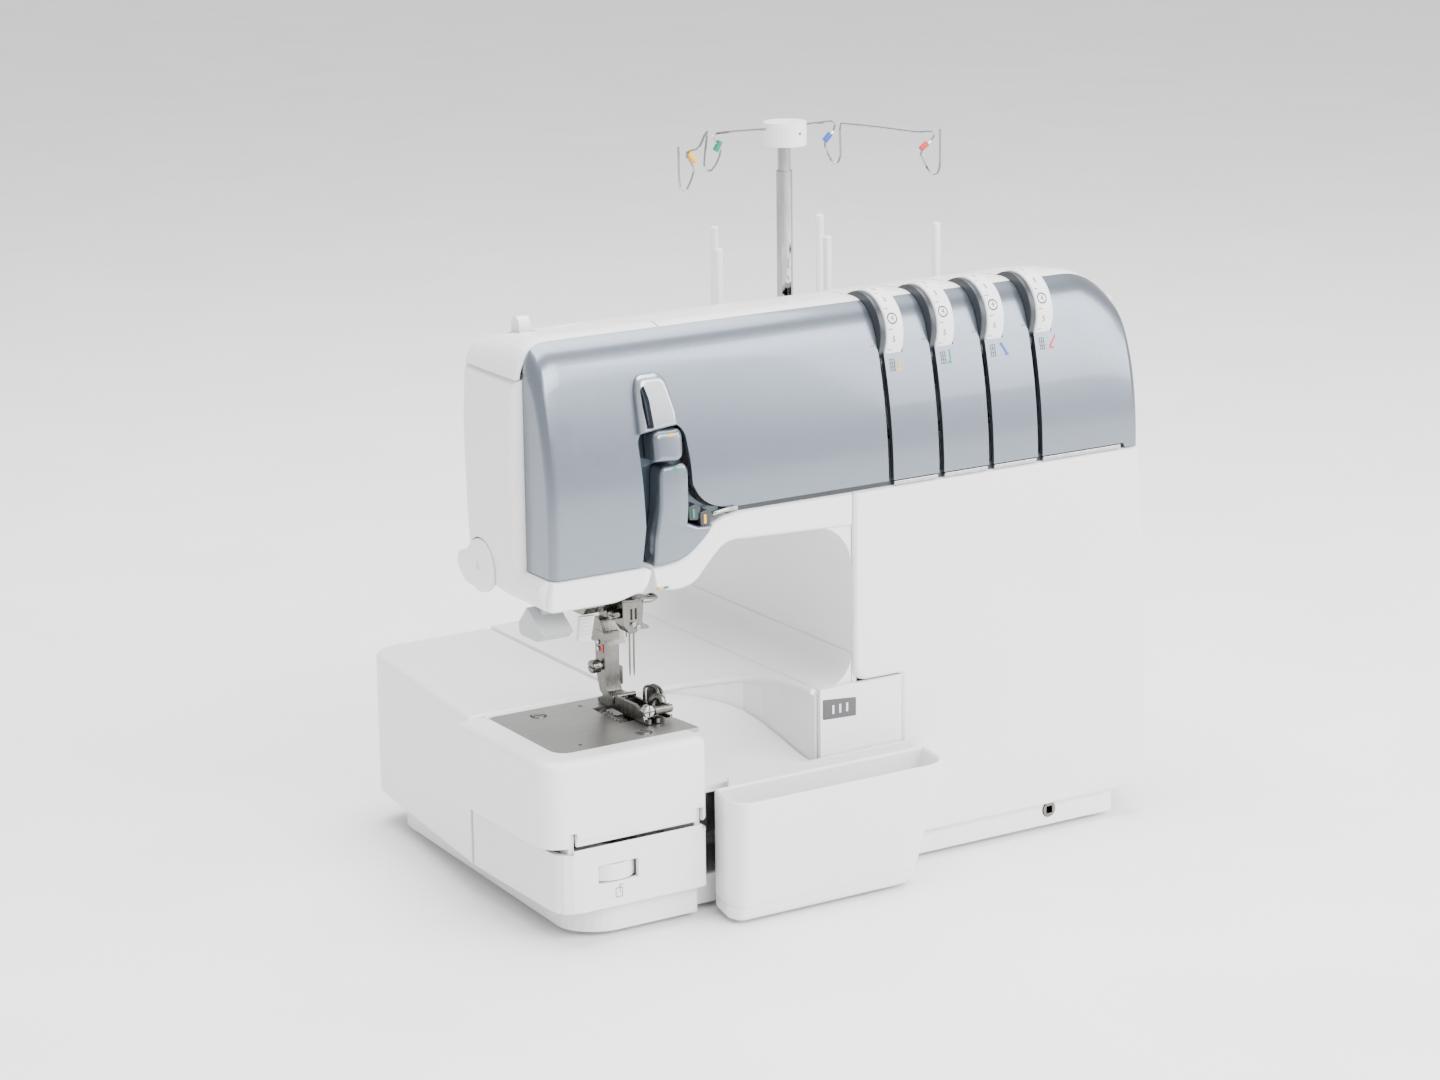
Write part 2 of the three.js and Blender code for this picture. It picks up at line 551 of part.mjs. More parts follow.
function makeShells() {
  const shells = group('shells');
  piece(shells, 'tower_front_panel', towerFrontPanel(), 'white');
  piece(shells, 'arm_front_panel', armFrontPanel(), 'silver');
  piece(shells, 'top_cover', topCover(), 'white');
  piece(shells, 'rear_casing', rearCasing(), 'white');
  piece(shells, 'arm_lower_cover', armLowerCover(), 'white');
  piece(shells, 'head_end_cover', headEndCover(), 'white');
  piece(shells, 'presser_lifter_lever', liftLever(), 'white');
  piece(shells, 'thread_channel', threadChannel(), 'dark');
  const backing = box(-111, -99, 7.4, 9.6, 184, 234);
  const guides = union(guideBlock(223.4, 236, 1), guideBlock(181, 221.4, 1.6), backing);
  piece(shells, 'thread_guide_plate', guides, 'silver');
  const arch = wire([[-118.2, 5, 238], [-118, 2.6, 253], [-110, 1.4, 260], [-102.4, 2.6, 253],
    [-100.4, 5, 238]], 1.7, 12, 6);
  piece(shells, 'thread_arch', arch, 'chrome');
}

// ---------- thread tension ----------
function tensionDial() {
  const wheel = rod('x', 0, 0, DIAL.r, 0, DIAL.width, 32);
  return cut(wheel, rod('x', 0, 0, 2.9, -1, DIAL.width + 1, 12));
}

function tensionDiscs() {
  const profile = [[0, -4], [3.6, -4], [3.6, -1.4], [9, -1.4], [11, -3], [9.4, 0], [11, 3], [9,
    1.4], [3.6, 1.4], [3.6, 4], [0, 4]];
  const points = profile.map(([r, h]) => new THREE.Vector2(r, h));
  const geometry = new THREE.LatheGeometry(points, 10);
  geometry.rotateZ(-Math.PI / 2);
  return solid(geometry);
}

function makeTension() {
  const tension = group('tension');
  SLOTS.forEach((x, i) => {
    piece(tension, `tension_dial_${i + 1}`, tensionDial(), 'white', [x + 2, DIAL.y, DIAL.z]);
  });
  const bar = rod('x', 24, 214, 2.4, SLOTS[0] - 14, SLOTS[3] + 14, 12);
  const discs = SLOTS.map((x) => tensionDiscs().translate([x, 24, 214]));
  piece(tension, 'tension_disc_bar', union(bar, ...discs), 'chrome');
}

// ---------- needle, presser and thread handling in the head ----------
function needleBar() {
  const bar = rod('z', NEEDLE.x, NEEDLE.y, 3.1, NEEDLE.clampHigh, 250, 16);
  const { clampLow, clampHigh, x, y } = NEEDLE;
  const clamp = union(
    box(x - 5.5, x + 6.5, y - 5, y + 4, clampLow, clampHigh),
    rod('x', y - 1, 139, 2.2, x + 6, x + 9.5, 12),
    rod('y', x - 1.5, 136, 1.8, y - 7.5, y - 4.5, 12),
    rod('y', x + 2.5, 141, 1.8, y - 7.5, y - 4.5, 12),
    box(x - 5.5, x - 3, y - 8, y + 4, clampLow, clampLow + 3));
  const bores = [0, 1].map((i) => rod('z', x - 0.9 + NEEDLE.spacing * i, y - 1, 1.05, clampLow - 1,
    clampLow + 13, 10));
  return cut(union(bar, clamp), ...bores);
}

function needle() {
  const points = [[0, -22], [0.35, -20], [0.5, -17], [0.5, 0], [0.8, 1.5], [0.8, 12], [0, 12]];
  const geometry = new THREE.LatheGeometry(points.map((p) => new THREE.Vector2(...p)), 10);
  geometry.rotateX(Math.PI / 2);
  return solid(geometry);
}

function presserBar() {
  const bar = rod('z', PRESSER.x, PRESSER.y, 3.4, 124, 250, 16);
  const bracket = box(PRESSER.x - 14, PRESSER.x + 4, PRESSER.y - 4.4, PRESSER.y + 4.4, 186, 194);
  const shank = slab('x', [[56, 122], [70, 122], [70, 134, 2], [61, 134, 2]], PRESSER.x - 6,
    PRESSER.x + 5);
  return union(bar, bracket, shank);
}

function presserFoot() {
  const { x } = PRESSER;
  const ankle = slab('x', [[54, 99], [60, 94.6], [69, 96], [68, 110], [70, 121.4], [58.5, 121.4],
    [60, 110]], x - 5.4, x + 4);
  const sole = slab('z', [[x - 10, 66], [x - 10, 34, 3], [x - 2, 22], [x + 8, 22, 3], [x + 10, 34],
    [x + 10, 66]], 91.8, 95.2);
  const prongs = box(x - 5, x + 5, 38, 49, 90, 97);
  const hinge = rod('x', 57, 97.4, 2.2, x - 8, x + 8, 12);
  const screw = rod('x', 64, 114, 3.2, x - 10, x - 5, 14);
  return cut(union(ankle, sole, hinge, screw), prongs);
}

function takeUpLever() {
  const shaft = rod('x', ROCKER.y, ROCKER.z, 4, -138, 8, 16);
  const arm = slab('x', [[48, 218], [56, 218], [56, 226], [34, 252, 2], [29, 250, 2], [47, 226]],
    -124, -121);
  return union(shaft, arm);
}

function threaderLever() {
  const tab = slab('x', [[10, 148], [15, 143.4, 2], [33, 143.4, 3], [33, 149.4], [25, 158]], -171, -155);
  return union(tab, box(-166, -160, 20, 24.6, 150, 176));
}

function upperKnife() {
  const blade = slab('x', [[29, 99], [33, 92], [47, 92], [47, 104], [41, 108], [31, 104]], -95.3, -93.9);
  const arm = box(-95.3, -92.4, 40, 46, 72, 94);
  return union(blade, arm);
}

function lowerKnife() {
  return slab('x', [[30, 70], [50, 70], [50, 89], [30, 90.8]], -92, -90.6).subtract(rod('x', 44,
    76, 1.6, -95, -88, 10));
}

function makeHead() {
  const head = group('head');
  piece(head, 'needle_bar', needleBar(), 'steel');
  [0, 1].forEach((i) => {
    const x = NEEDLE.x - 0.9 + NEEDLE.spacing * i;
    piece(head, `needle_${i + 1}`, needle(), 'chrome', [x, NEEDLE.y - 1, NEEDLE.tip + 22]);
  });
  piece(head, 'presser_bar', presserBar(), 'steel');
  piece(head, 'presser_foot', presserFoot(), 'steel');
  piece(head, 'take_up_lever', takeUpLever(), 'steel');
  piece(head, 'needle_threader_lever', threaderLever(), 'grey');
  const knob = union(box(-156.5, -150.5, 52, 60, 272, 284), rod('x', 56, 284, 4, -156.5, -150.5, 16));
  piece(head, 'pressure_lever', knob, 'white');
}

// ---------- sewing mechanism under the plate ----------
const LOWER_LOOPER = { x: -138, y: 47, z: 58 };
const UPPER_LOOPER = { x: -88, y: 34, z: 50 };

function lowerLooper() {
  const { x, y, z } = LOWER_LOOPER;
  const arm = wire([[x, y, z], [x + 2, y, z + 14], [x + 9, y, z + 21], [x + 20, y, z + 22]], 1.5, 8, 6);
  return union(rod('y', x, z, 4, y - 6, y + 6, 16), arm);
}

function upperLooper() {
  const { x, y, z } = UPPER_LOOPER;
  const arm = wire([[x, y, z], [x - 3, y, z + 10], [x - 9, y, z + 20], [x - 11, y, z + 30]], 1.5, 8, 6);
  return union(rod('y', x, z, 4, y - 6, y + 2, 16), arm);
}

function feedDogs() {
  const rows = FEED_ROWS.map((x) => {
    const teeth = [0, 1, 2, 3, 4, 5, 6].map((i) => 33 + 3.4 * i);
    const top = teeth.flatMap((y) => [[y, BED + 0.1], [y + 2.2, BED - 1]]);
    return slab('x', [[31, 84], [31, BED - 1], ...top, [57, BED - 1], [57, 84]], x - 1.8, x + 1.8);
  });
  const carrier = box(FEED_ROWS[0] - 1.8, FEED_ROWS[1] + 1.8, 52.6, 57, 82, 86);
  return union(...rows, carrier);
}

function makeMechanism() {
  const works = group('works');
  piece(works, 'lower_looper', lowerLooper(), 'steel');
  piece(works, 'upper_looper', upperLooper(), 'steel');
  piece(works, 'feed_dogs', feedDogs(), 'steel');
  piece(works, 'upper_knife', upperKnife(), 'steel');
  piece(works, 'lower_knife', lowerKnife(), 'steel');
  piece(works, 'chassis_frame', chassisFrame(), 'casting');
  piece(works, 'main_shaft', mainShaft(), 'steel');
  piece(works, 'handwheel', handwheel(), 'white');
  piece(works, 'motor', motor(), 'casting');
  const pulley = rod('x', MOTOR.y, MOTOR.z, 9, 150.4, 160, 20).add(rod('x', MOTOR.y, MOTOR.z, 2.4,
    141, 151, 12));
  piece(works, 'motor_pulley', pulley, 'steel');
  piece(works, 'drive_belt', driveBelt(), 'rubber');
  const board = cut(box(30, 132, 150, 151.6, 96, 176), rod('y', 36, 102, 2, 140, 160, 10), rod('y',
    126, 170, 2, 140, 160, 10));
  piece(works, 'control_board', board, 'board');
}

function chassisFrame() {
  const plate = box(-160, 150, 34, 64, 20, 26).add(box(-60, 150, 34, 118, 20, 26));
  const legs = [[-150, 44], [120, 42], [120, 110], [-50, 108]].map(([x, y]) => rod('z', x, y, 5, 6,
    24, 12));
  const walls = [[-76, -68, 36, 64, 59], [14, 22, 36, 72, 246], [132, 140, 36, 72, 246]];
  const uprights = walls.map(([x0, x1, y0, y1, top]) => box(x0, x1, y0, y1, 24, top));
  const beam = box(-148, 140, 60, 72, 226, 246);
  const guides = [[166, 173], [238, 246]].map(([z0, z1]) => box(-118, -98, 36, 73, z0, z1));
  const headPost = box(-101, -95.4, 58, 73, 166, 246);
  const postBlock = box(-160, -150, 34, 60, 24, 40);
  const bores = [
    rod('x', HANDWHEEL.y, HANDWHEEL.z, 6.4, -80, 150, 20), rod('x', ROCKER.y, ROCKER.z, 4.4, -150,
      30, 20),
    rod('z', NEEDLE.x, NEEDLE.y, 3.5, 160, 250, 16), rod('z', PRESSER.x, PRESSER.y, 3.8, 160, 250, 16),
  ];
  const dialAxle = rod('x', DIAL.y, DIAL.z, 2.5, 8, 138, 16);
  const axleArms = [[14, 17.2], [132, 140]].map(([x0, x1]) => box(x0, x1, DIAL.y - 5, 62, 240,
    DIAL.z + 5));
  const motorMount = box(132, 140, 72, 118, 24, 96);
  const motorBore = rod('x', MOTOR.y, MOTOR.z, 8, 120, 150, 20);
  const body = union(plate, ...legs, ...uprights, beam, ...guides, headPost, postBlock, motorMount);
  return union(cut(body, ...bores, motorBore), ...axleArms, dialAxle);
}

function mainShaft() {
  const { y, z } = HANDWHEEL;
  const shaft = rod('x', y, z, 6, -84, HANDWHEEL.from - GAP, 20);
  const eccentric = rod('x', y + 2.4, z, 7.2, -62, -54, 16);
  return union(shaft, eccentric, rod('x', y, z, 24, 151, 160, 32));
}

function handwheel() {
  const { y, z, r, from } = HANDWHEEL;
  const to = WHEEL_FACE;
  const profile = [[0, 0], [r - 3, 0], [r, 2.5], [r, 8], [r - 3, to - from], [r - 12, to - from],
    [r - 15, 9], [0, 9]];
  const geometry = new THREE.LatheGeometry(profile.map((p) => new THREE.Vector2(...p)), 30);
  geometry.rotateZ(-Math.PI / 2).translate(from, y, z);
  return solid(geometry);
}

function motor() {
  const can = rod('x', MOTOR.y, MOTOR.z, MOTOR.r, 50, 122, 32);
  const face = rod('x', MOTOR.y, MOTOR.z, 7.4, 121, 140, 20);
  const bore = rod('x', MOTOR.y, MOTOR.z, 2.8, 130, 150, 12);
  return cut(union(can, face), bore);
}

function driveBelt() {
  const big = { y: HANDWHEEL.y, z: HANDWHEEL.z, r: 24.4 };
  const small = { y: MOTOR.y, z: MOTOR.z, r: 9.4 };
  const dy = small.y - big.y;
  const dz = small.z - big.z;
  const tilt = Math.atan2(dz, dy);
  const spread = Math.acos((big.r - small.r) / Math.hypot(dy, dz));
  const loop = (extra) => {
    const arc = (c, from, to, n) => Array.from({ length: n + 1 }, (_, i) => {
      const t = from + ((to - from) * i) / n;
      return [c.y + (c.r + extra) * Math.cos(t), c.z + (c.r + extra) * Math.sin(t)];
    });
    const smallArc = arc(small, tilt - spread, tilt + spread, 10);
    return [...smallArc, ...arc(big, tilt + spread, tilt - spread + 2 * Math.PI, 20)];
  };
  return slab('x', loop(2), 152, 159).subtract(slab('x', loop(0), 151, 160));
}

// ---------- right side controls ----------
function sideDial() {
  const flutes = Array.from({ length: 8 }, (_, i) => {
    const t = (2 * Math.PI * i) / 8;
    return rod('x', 17 * Math.cos(t), 17 * Math.sin(t), 2.4, 1.5, 12, 6);
  });
  return union(cut(rod('x', 0, 0, 16, 0, 8.5, 24), ...flutes), rod('x', 0, 0, 5, -12, 0.5, 16));
}

function socketPanel() {
  const { y0, y1, z0, z1 } = SOCKET_PANEL;
  const plate = box(167.6, 170.4, y0 + GAP, y1 - GAP, z0 + GAP, z1 - GAP);
  const inletHole = box(160, 175, 128, 146, 68, 82);
  const pedalHole = rod('x', 137, 96, 4.6, 160, 175, 16);
  const switchHole = box(160, 175, 129, 145, 42, 60);
  const inlet = union(
    cut(box(160, 168.6, 128, 146, 68, 82), box(163, 175, 131, 143, 71, 79)),
    box(162, 167, 134, 135.6, 74, 76), box(162, 167, 138.4, 140, 74, 76));
  const pedalSocket = tube('x', 137, 96, 4.8, 2.4, 160, 168.6, 16);
  return union(cut(plate, inletHole, pedalHole, switchHole), inlet, pedalSocket);
}

function makeRightSide() {
  const side = group('right_side');
  piece(side, 'stitch_length_dial', sideDial(), 'white', [174, 52, 122]);
  piece(side, 'differential_feed_dial', sideDial(), 'white', [172.6, 52, 160]);
  piece(side, 'socket_panel', socketPanel(), 'dark');
  const rocker = slab('z', [[164, -7.2], [172, -7.2], [169.8, 0], [170.6, 7.2], [164, 7.2]], -8, 8);
  piece(side, 'power_switch', rocker, 'dark', [0, 137, 51]);
}

// ---------- spool stand and telescopic thread mast ----------
function spoolStand() {
  const outline = [[TRAY.left, ARM_BACK + 1.5, 6], [TRAY.right, ARM_BACK + 1.5, 6], [TRAY.right,
    TRAY.back, 14], [TRAY.left, TRAY.back, 14]];
  const dish = slab('z', outline, TRAY.z, TRAY.z + TRAY.rim)
    .subtract(slab('z', inset(outline, WALL), TRAY.z + TRAY.floor, TRAY.z + TRAY.rim + 1));
  const { x, y } = MAST;
  const socket = rod('z', x, y, 6.6, 112, 236, 20);
  const pins = SPOOL_PINS.map((place) => spoolPin().translate([...place, TRAY.z + TRAY.floor - 1]));
  return cut(union(dish, socket, ...pins), rod('z', x, y, 4.4, 110, 240, 20));
}

function spoolPin() {
  const top = 300 - (TRAY.z + TRAY.floor - 1);
  const points = [[0, 0], [11, 0], [11, 1.6], [4.4, 4], [2.15, 8], [2.15, top - 0.8], [1.5, top],
    [0, top]];
  const geometry = new THREE.LatheGeometry(points.map((p) => new THREE.Vector2(...p)), 10);
  geometry.rotateX(Math.PI / 2);
  return solid(geometry);
}

// Each guide wire runs out from the cap, dips into its two hooks and ends in an upturned tip.
const LEFT_WIRE = [
  [-0.4, 84, 360.2], [-28, 84, 360.6], [-30.4, 84, 358.4], [-27.4, 84, 354.4], [-26, 84, 351.6],
  [-28.6, 84, 346], [-32, 84, 342.6], [-35.4, 84, 344.4], [-35, 84, 352], [-33.8, 84, 362.4],
    [-38.6, 84, 354.4],
  [-43.4, 84, 353.4], [-46, 84, 352], [-43.6, 84, 347.6], [-41.4, 84, 344], [-43.4, 84, 338.4],
  [-46.4, 84, 334.2], [-49.4, 84, 336.6], [-49.9, 84, 345], [-50, 84, 356],
];
const RIGHT_WIRE = [
  [20.8, 84, 360.6], [34, 84, 360.8], [38.6, 84, 360.4], [38.4, 84, 356.4], [35, 84, 353], [32.6,
    84, 350.4],
  [35, 84, 344], [38.4, 84, 339.8], [42, 84, 341.6], [42, 84, 350], [42, 84, 358.4], [44.6, 84, 358.8],
  [64, 84, 355.6], [86, 84, 351.4], [97.6, 84, 350.4], [98, 84, 347.4], [94, 84, 344], [90, 84, 340.4],
  [93.6, 84, 333.4], [97.6, 84, 328.6], [101.6, 84, 330.4], [102, 84, 340], [102, 84, 351.4],
];

function makeStand() {
  const stand = group('thread_stand');
  piece(stand, 'spool_stand', spoolStand(), 'white');
  const { x, y } = MAST;
  piece(stand, 'mast_outer_tube', tube('z', x, y, MAST.outerR, 3.5, 180, MAST.step, 20), 'chrome');
  piece(stand, 'mast_inner_tube', rod('z', x, y, MAST.innerR, 262, MAST.cap + 6, 16), 'chrome');
  const cap = cut(rod('z', x, y - 1, 10.6, MAST.cap, MAST.top, 28), rod('z', x, y,
    MAST.innerR + GAP, MAST.cap - 1, MAST.cap + 6.4, 16),
    rod('y', x + 2, 356, 0.9, 60, 78, 8));
  piece(stand, 'mast_cap', cap, 'white');
  piece(stand, 'left_guide_wire', wire(LEFT_WIRE.map(([a, b, c]) => [a - 0.4, b, c - 2]), 0.6, 48,
    5, 0.4), 'chrome');
  piece(stand, 'right_guide_wire', wire(RIGHT_WIRE.map(([a, b, c]) => [a + 0.6, b, c - 2]), 0.6,
    54, 5, 0.4), 'chrome');
}

makeBase();
makeBed();
makeShells();
makeTension();
makeHead();
makeMechanism();
makeRightSide();
makeStand();

export default machine;
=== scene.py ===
"""Looks of a home serger: smooth moulded shells, metal sewing parts and studio light around the CAD frame.

Lengths are millimetres in the part's working frame: x = 0 is 5.4 mm right of the tower's left edge,
y = 0 is the flat front of the tower and z = 0 is the table. at() turns them into row-frame metres.
"""
import json
import math

import bmesh
import bpy
from mathutils import Matrix, Vector


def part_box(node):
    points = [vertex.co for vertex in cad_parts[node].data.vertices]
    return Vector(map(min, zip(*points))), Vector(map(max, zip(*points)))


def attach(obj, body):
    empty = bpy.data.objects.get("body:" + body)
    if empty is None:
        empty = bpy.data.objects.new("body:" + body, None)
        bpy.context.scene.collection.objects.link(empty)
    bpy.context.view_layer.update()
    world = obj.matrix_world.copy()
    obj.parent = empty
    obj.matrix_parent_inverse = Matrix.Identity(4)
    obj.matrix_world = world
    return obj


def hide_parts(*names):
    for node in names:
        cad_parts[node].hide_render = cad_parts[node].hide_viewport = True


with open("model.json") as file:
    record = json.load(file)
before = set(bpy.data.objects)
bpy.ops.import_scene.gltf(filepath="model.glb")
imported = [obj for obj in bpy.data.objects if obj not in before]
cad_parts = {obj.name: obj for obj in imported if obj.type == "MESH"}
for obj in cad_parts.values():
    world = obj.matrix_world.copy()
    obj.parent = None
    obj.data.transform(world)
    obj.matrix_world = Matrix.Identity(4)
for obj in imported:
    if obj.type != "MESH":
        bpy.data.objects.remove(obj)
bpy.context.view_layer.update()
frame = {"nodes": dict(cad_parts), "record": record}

MM = 0.001
WALL = 2.5
GAP = 0.3
BED, BED_HIGH = 91.3, 98.5
SILVER_LOW, CHIN_HIGH, HEAD_LOW = 195.0, 175.4, 160.0
HEAD_LEFT, ARM_RIGHT, ARM_BACK = -170.7, 166.3, 77.5
TOWER_LEFT, COVER_SEAM = -5.4, 22.0
TOP_SEAM = 24.5
BLOCK = {"left": -182.6, "right": -95.3, "front": -9.3, "back": 77.2}
NEEDLE = (-105.8, 43.0)
MAST = (10.4, 85.0)
LIFTER = (60, 171)                       # pivot of the foot lifter, in y and z
HOOD_HINGE = (-4, 53.5)                  # hinge pin of the hood, in y and z
HINGE_POSTS = (-168, -100)
KNUCKLES = (-158, -112)
KNUCKLE_HALF = 5
PLATE_SCREWS = ((-146.2, 62), (-117.1, 12))
SLIT_LOW, SLIT_HALF = 195.8, 1.5
WINDOW_LOW, WINDOW_LEFT, WINDOW_RIGHT = 257.6, 1.6, 12.4
TRIM_RISE, TRIM_RIGHT = 2.4, 156
DIAL = {"y": 26.5, "z": 266.5, "r": 20.0, "width": 10.0, "pitch": 29.6, "first": 15.7}
SLOTS = [DIAL["first"] + DIAL["pitch"] * i for i in range(4)]
THREAD_COLOURS = ("yellow", "green", "blue", "red")

_panel_low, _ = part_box("tower_front_panel")
ORIGIN = Vector((_panel_low.x - TOWER_LEFT * MM, _panel_low.y, 0))


def at(x, y, z):
    """A working-frame point in millimetres as row-frame metres."""
    return ORIGIN + Vector((x, y, z)) * MM


# ---------------------------------------------------------------- materials
MATERIALS = {}


def new_material(name, colour, roughness, metallic=0.0, **shader):
    material = bpy.data.materials.new(name)
    material.use_nodes = True
    tree = material.node_tree
    bsdf = tree.nodes["Principled BSDF"]
    bsdf.inputs["Base Color"].default_value = (*colour, 1)
    bsdf.inputs["Roughness"].default_value = roughness
    bsdf.inputs["Metallic"].default_value = metallic
    for socket, value in shader.items():
        bsdf.inputs[socket.replace("_", " ")].default_value = value
    MATERIALS[name] = material
    return material, tree, bsdf


def noise(tree, scale, detail=3.0, stretch=(1, 1, 1)):
    """A noise texture in object space; scale counts features per metre."""
    coords = tree.nodes.new("ShaderNodeTexCoord")
    mapping = tree.nodes.new("ShaderNodeMapping")
    mapping.inputs["Scale"].default_value = stretch
    texture = tree.nodes.new("ShaderNodeTexNoise")
    texture.inputs["Scale"].default_value = scale
    texture.inputs["Detail"].default_value = detail
    tree.links.new(coords.outputs["Object"], mapping.inputs["Vector"])
    tree.links.new(mapping.outputs["Vector"], texture.inputs["Vector"])
    return texture.outputs["Fac"]


def ramp(tree, factor, low, high, start=0.35, end=0.65):
    node = tree.nodes.new("ShaderNodeValToRGB")
    node.color_ramp.elements[0].position = start
    node.color_ramp.elements[1].position = end
    node.color_ramp.elements[0].color = (*low, 1)
    node.color_ramp.elements[1].color = (*high, 1)
    tree.links.new(factor, node.inputs["Fac"])
    return node.outputs["Color"]


def roughness_range(tree, bsdf, factor, low, high):
    node = tree.nodes.new("ShaderNodeMapRange")
    node.inputs["To Min"].default_value = low
    node.inputs["To Max"].default_value = high
    tree.links.new(factor, node.inputs["Value"])
    tree.links.new(node.outputs["Result"], bsdf.inputs["Roughness"])


def bump(tree, bsdf, height, distance, strength=0.3):
    node = tree.nodes.new("ShaderNodeBump")
    node.inputs["Distance"].default_value = distance
    node.inputs["Strength"].default_value = strength
    tree.links.new(height, node.inputs["Height"])
    tree.links.new(node.outputs["Normal"], bsdf.inputs["Normal"])


def shade(colour, factor):
    return tuple(min(1.0, c * factor) for c in colour)


def moulded(name, colour, low, high, grain=1400, depth=0.00002):
    """Moulded plastic: slight tone drift, patchy gloss and a fine spark-eroded grain."""
    _, tree, bsdf = new_material(name, colour, low)
    drift = noise(tree, 9, 2)
    tree.links.new(ramp(tree, drift, shade(colour, 0.975), shade(colour, 1.012)), bsdf.inputs["Base Color"])
    roughness_range(tree, bsdf, noise(tree, 60, 4), low, high)
    bump(tree, bsdf, noise(tree, grain, 2), depth, 0.25)


def metal(name, colour, low, high, stretch=(1, 1, 1), scale=500, depth=0.00001, **shader):
    """Metal with directional machining marks and uneven polish."""
    _, tree, bsdf = new_material(name, colour, low, 1.0, **shader)
    grain = noise(tree, scale, 4, stretch)
    tree.links.new(ramp(tree, grain, shade(colour, 0.86), shade(colour, 1.08)), bsdf.inputs["Base Color"])
    roughness_range(tree, bsdf, grain, low, high)
    bump(tree, bsdf, grain, depth, 0.3)


def flake_paint(name, colour):
    """Metallic lacquer: fine aluminium flakes under a clear coat."""
    _, tree, bsdf = new_material(name, colour, 0.3, 0.86, Coat_Weight=0.55, Coat_Roughness=0.06)
    cells = tree.nodes.new("ShaderNodeTexVoronoi")
    cells.inputs["Scale"].default_value = 3200
    coords = tree.nodes.new("ShaderNodeTexCoord")
    tree.links.new(coords.outputs["Object"], cells.inputs["Vector"])
    tree.links.new(ramp(tree, cells.outputs["Distance"], shade(colour, 1.12), shade(colour, 0.9), 0.1, 0.9),
                   bsdf.inputs["Base Color"])
    roughness_range(tree, bsdf, noise(tree, 240, 3), 0.27, 0.35)
    bump(tree, bsdf, cells.outputs["Distance"], 0.00001, 0.12)


def make_materials():
    moulded("white_shell", (0.80, 0.80, 0.795), 0.26, 0.36)
    moulded("white_satin", (0.74, 0.745, 0.745), 0.4, 0.5)
    moulded("grey_plastic", (0.42, 0.435, 0.445), 0.38, 0.48)
    moulded("dark_plastic", (0.025, 0.03, 0.036), 0.28, 0.4)
    moulded("rubber", (0.02, 0.02, 0.021), 0.75, 0.9, 900, 0.00005)
    moulded("mark_ink", (0.03, 0.03, 0.033), 0.5, 0.6)
    moulded("label_grey", (0.07, 0.07, 0.075), 0.4, 0.5)
    moulded("board", (0.02, 0.09, 0.045), 0.4, 0.5)
    moulded("yellow", (0.78, 0.40, 0.005), 0.3, 0.4)
    moulded("green", (0.0, 0.20, 0.12), 0.3, 0.4)
    moulded("blue", (0.005, 0.07, 0.38), 0.3, 0.4)
    moulded("red", (0.50, 0.012, 0.012), 0.3, 0.4)
    flake_paint("silver_paint", (0.165, 0.192, 0.228))
    flake_paint("light_silver", (0.36, 0.385, 0.42))
    flake_paint("recess_paint", (0.05, 0.07, 0.09))
    metal("plate_steel", (0.36, 0.357, 0.35), 0.27, 0.42, (0.05, 1, 1), 1800)
    metal("plated_steel", (0.17, 0.163, 0.15), 0.2, 0.36, (1, 1, 0.12), 900)
    metal("bright_chrome", (0.40, 0.40, 0.41), 0.05, 0.11, (1, 1, 0.2), 400)
    metal("casting", (0.45, 0.46, 0.47), 0.5, 0.65, scale=700, depth=0.00006)


# ---------------------------------------------------------------- mesh helpers
def dress(obj, body, material, nodes=(), smooth=35):
    tidy_mesh(obj.data, smooth)
    obj.data.materials.clear()
    obj.data.materials.append(MATERIALS[material])
    if body:
        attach(obj, body)
    if nodes:
        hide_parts(*nodes)


def tidy_mesh(mesh, smooth):
    bm = bmesh.new()
    bm.from_mesh(mesh)
    bmesh.ops.remove_doubles(bm, verts=bm.verts, dist=1e-6)
    bmesh.ops.recalc_face_normals(bm, faces=bm.faces)
    bm.to_mesh(mesh)
    bm.free()
    mesh.shade_smooth()
    mesh.set_sharp_from_angle(angle=math.radians(smooth))


def rounded(corners, steps=8):
    """Corners (a, b) or (a, b, radius) as outline points, round corners as short curves."""
    points = []
    count = len(corners)
    for i, corner in enumerate(corners):
        here = Vector(corner[:2])
        radius = corner[2] if len(corner) > 2 else 0
        if radius < 0.05:
            points.append(here)
            continue
        before = Vector(corners[i - 1][:2]) - here
        after = Vector(corners[(i + 1) % count][:2]) - here
        reach = min(radius, 0.49 * before.length, 0.49 * after.length)
        start, end = before.normalized() * reach, after.normalized() * reach
        for k in range(steps + 1):
            t = k / steps
            points.append(here + start * (1 - t) ** 2 + end * t ** 2)
    return points


def inset(corners, distance):
    """The same corners moved inwards, with smaller radii."""
    count = len(corners)
    area = sum(corners[i][0] * corners[(i + 1) % count][1] - corners[(i + 1) % count][0] * corners[i][1]
               for i in range(count))
    side = math.copysign(distance, area)
    moved = []
    for i, corner in enumerate(corners):
        here = Vector(corner[:2])
        u = (here - Vector(corners[i - 1][:2])).normalized()
        v = (Vector(corners[(i + 1) % count][:2]) - here).normalized()
        shift = Vector((-u.y - v.y, u.x + v.x)) * (side / (1 + u.dot(v)))
        radius = corner[2] if len(corner) > 2 else 0
        moved.append((here.x + shift.x, here.y + shift.y, max(radius - distance * 0.8, 0.4) if radius else 0))
    return moved


def place(axis, a, b, level):
    """A point of an outline that is pushed along an axis."""
    return {"x": (level, a, b), "y": (a, level, b), "z": (a, b, level)}[axis]


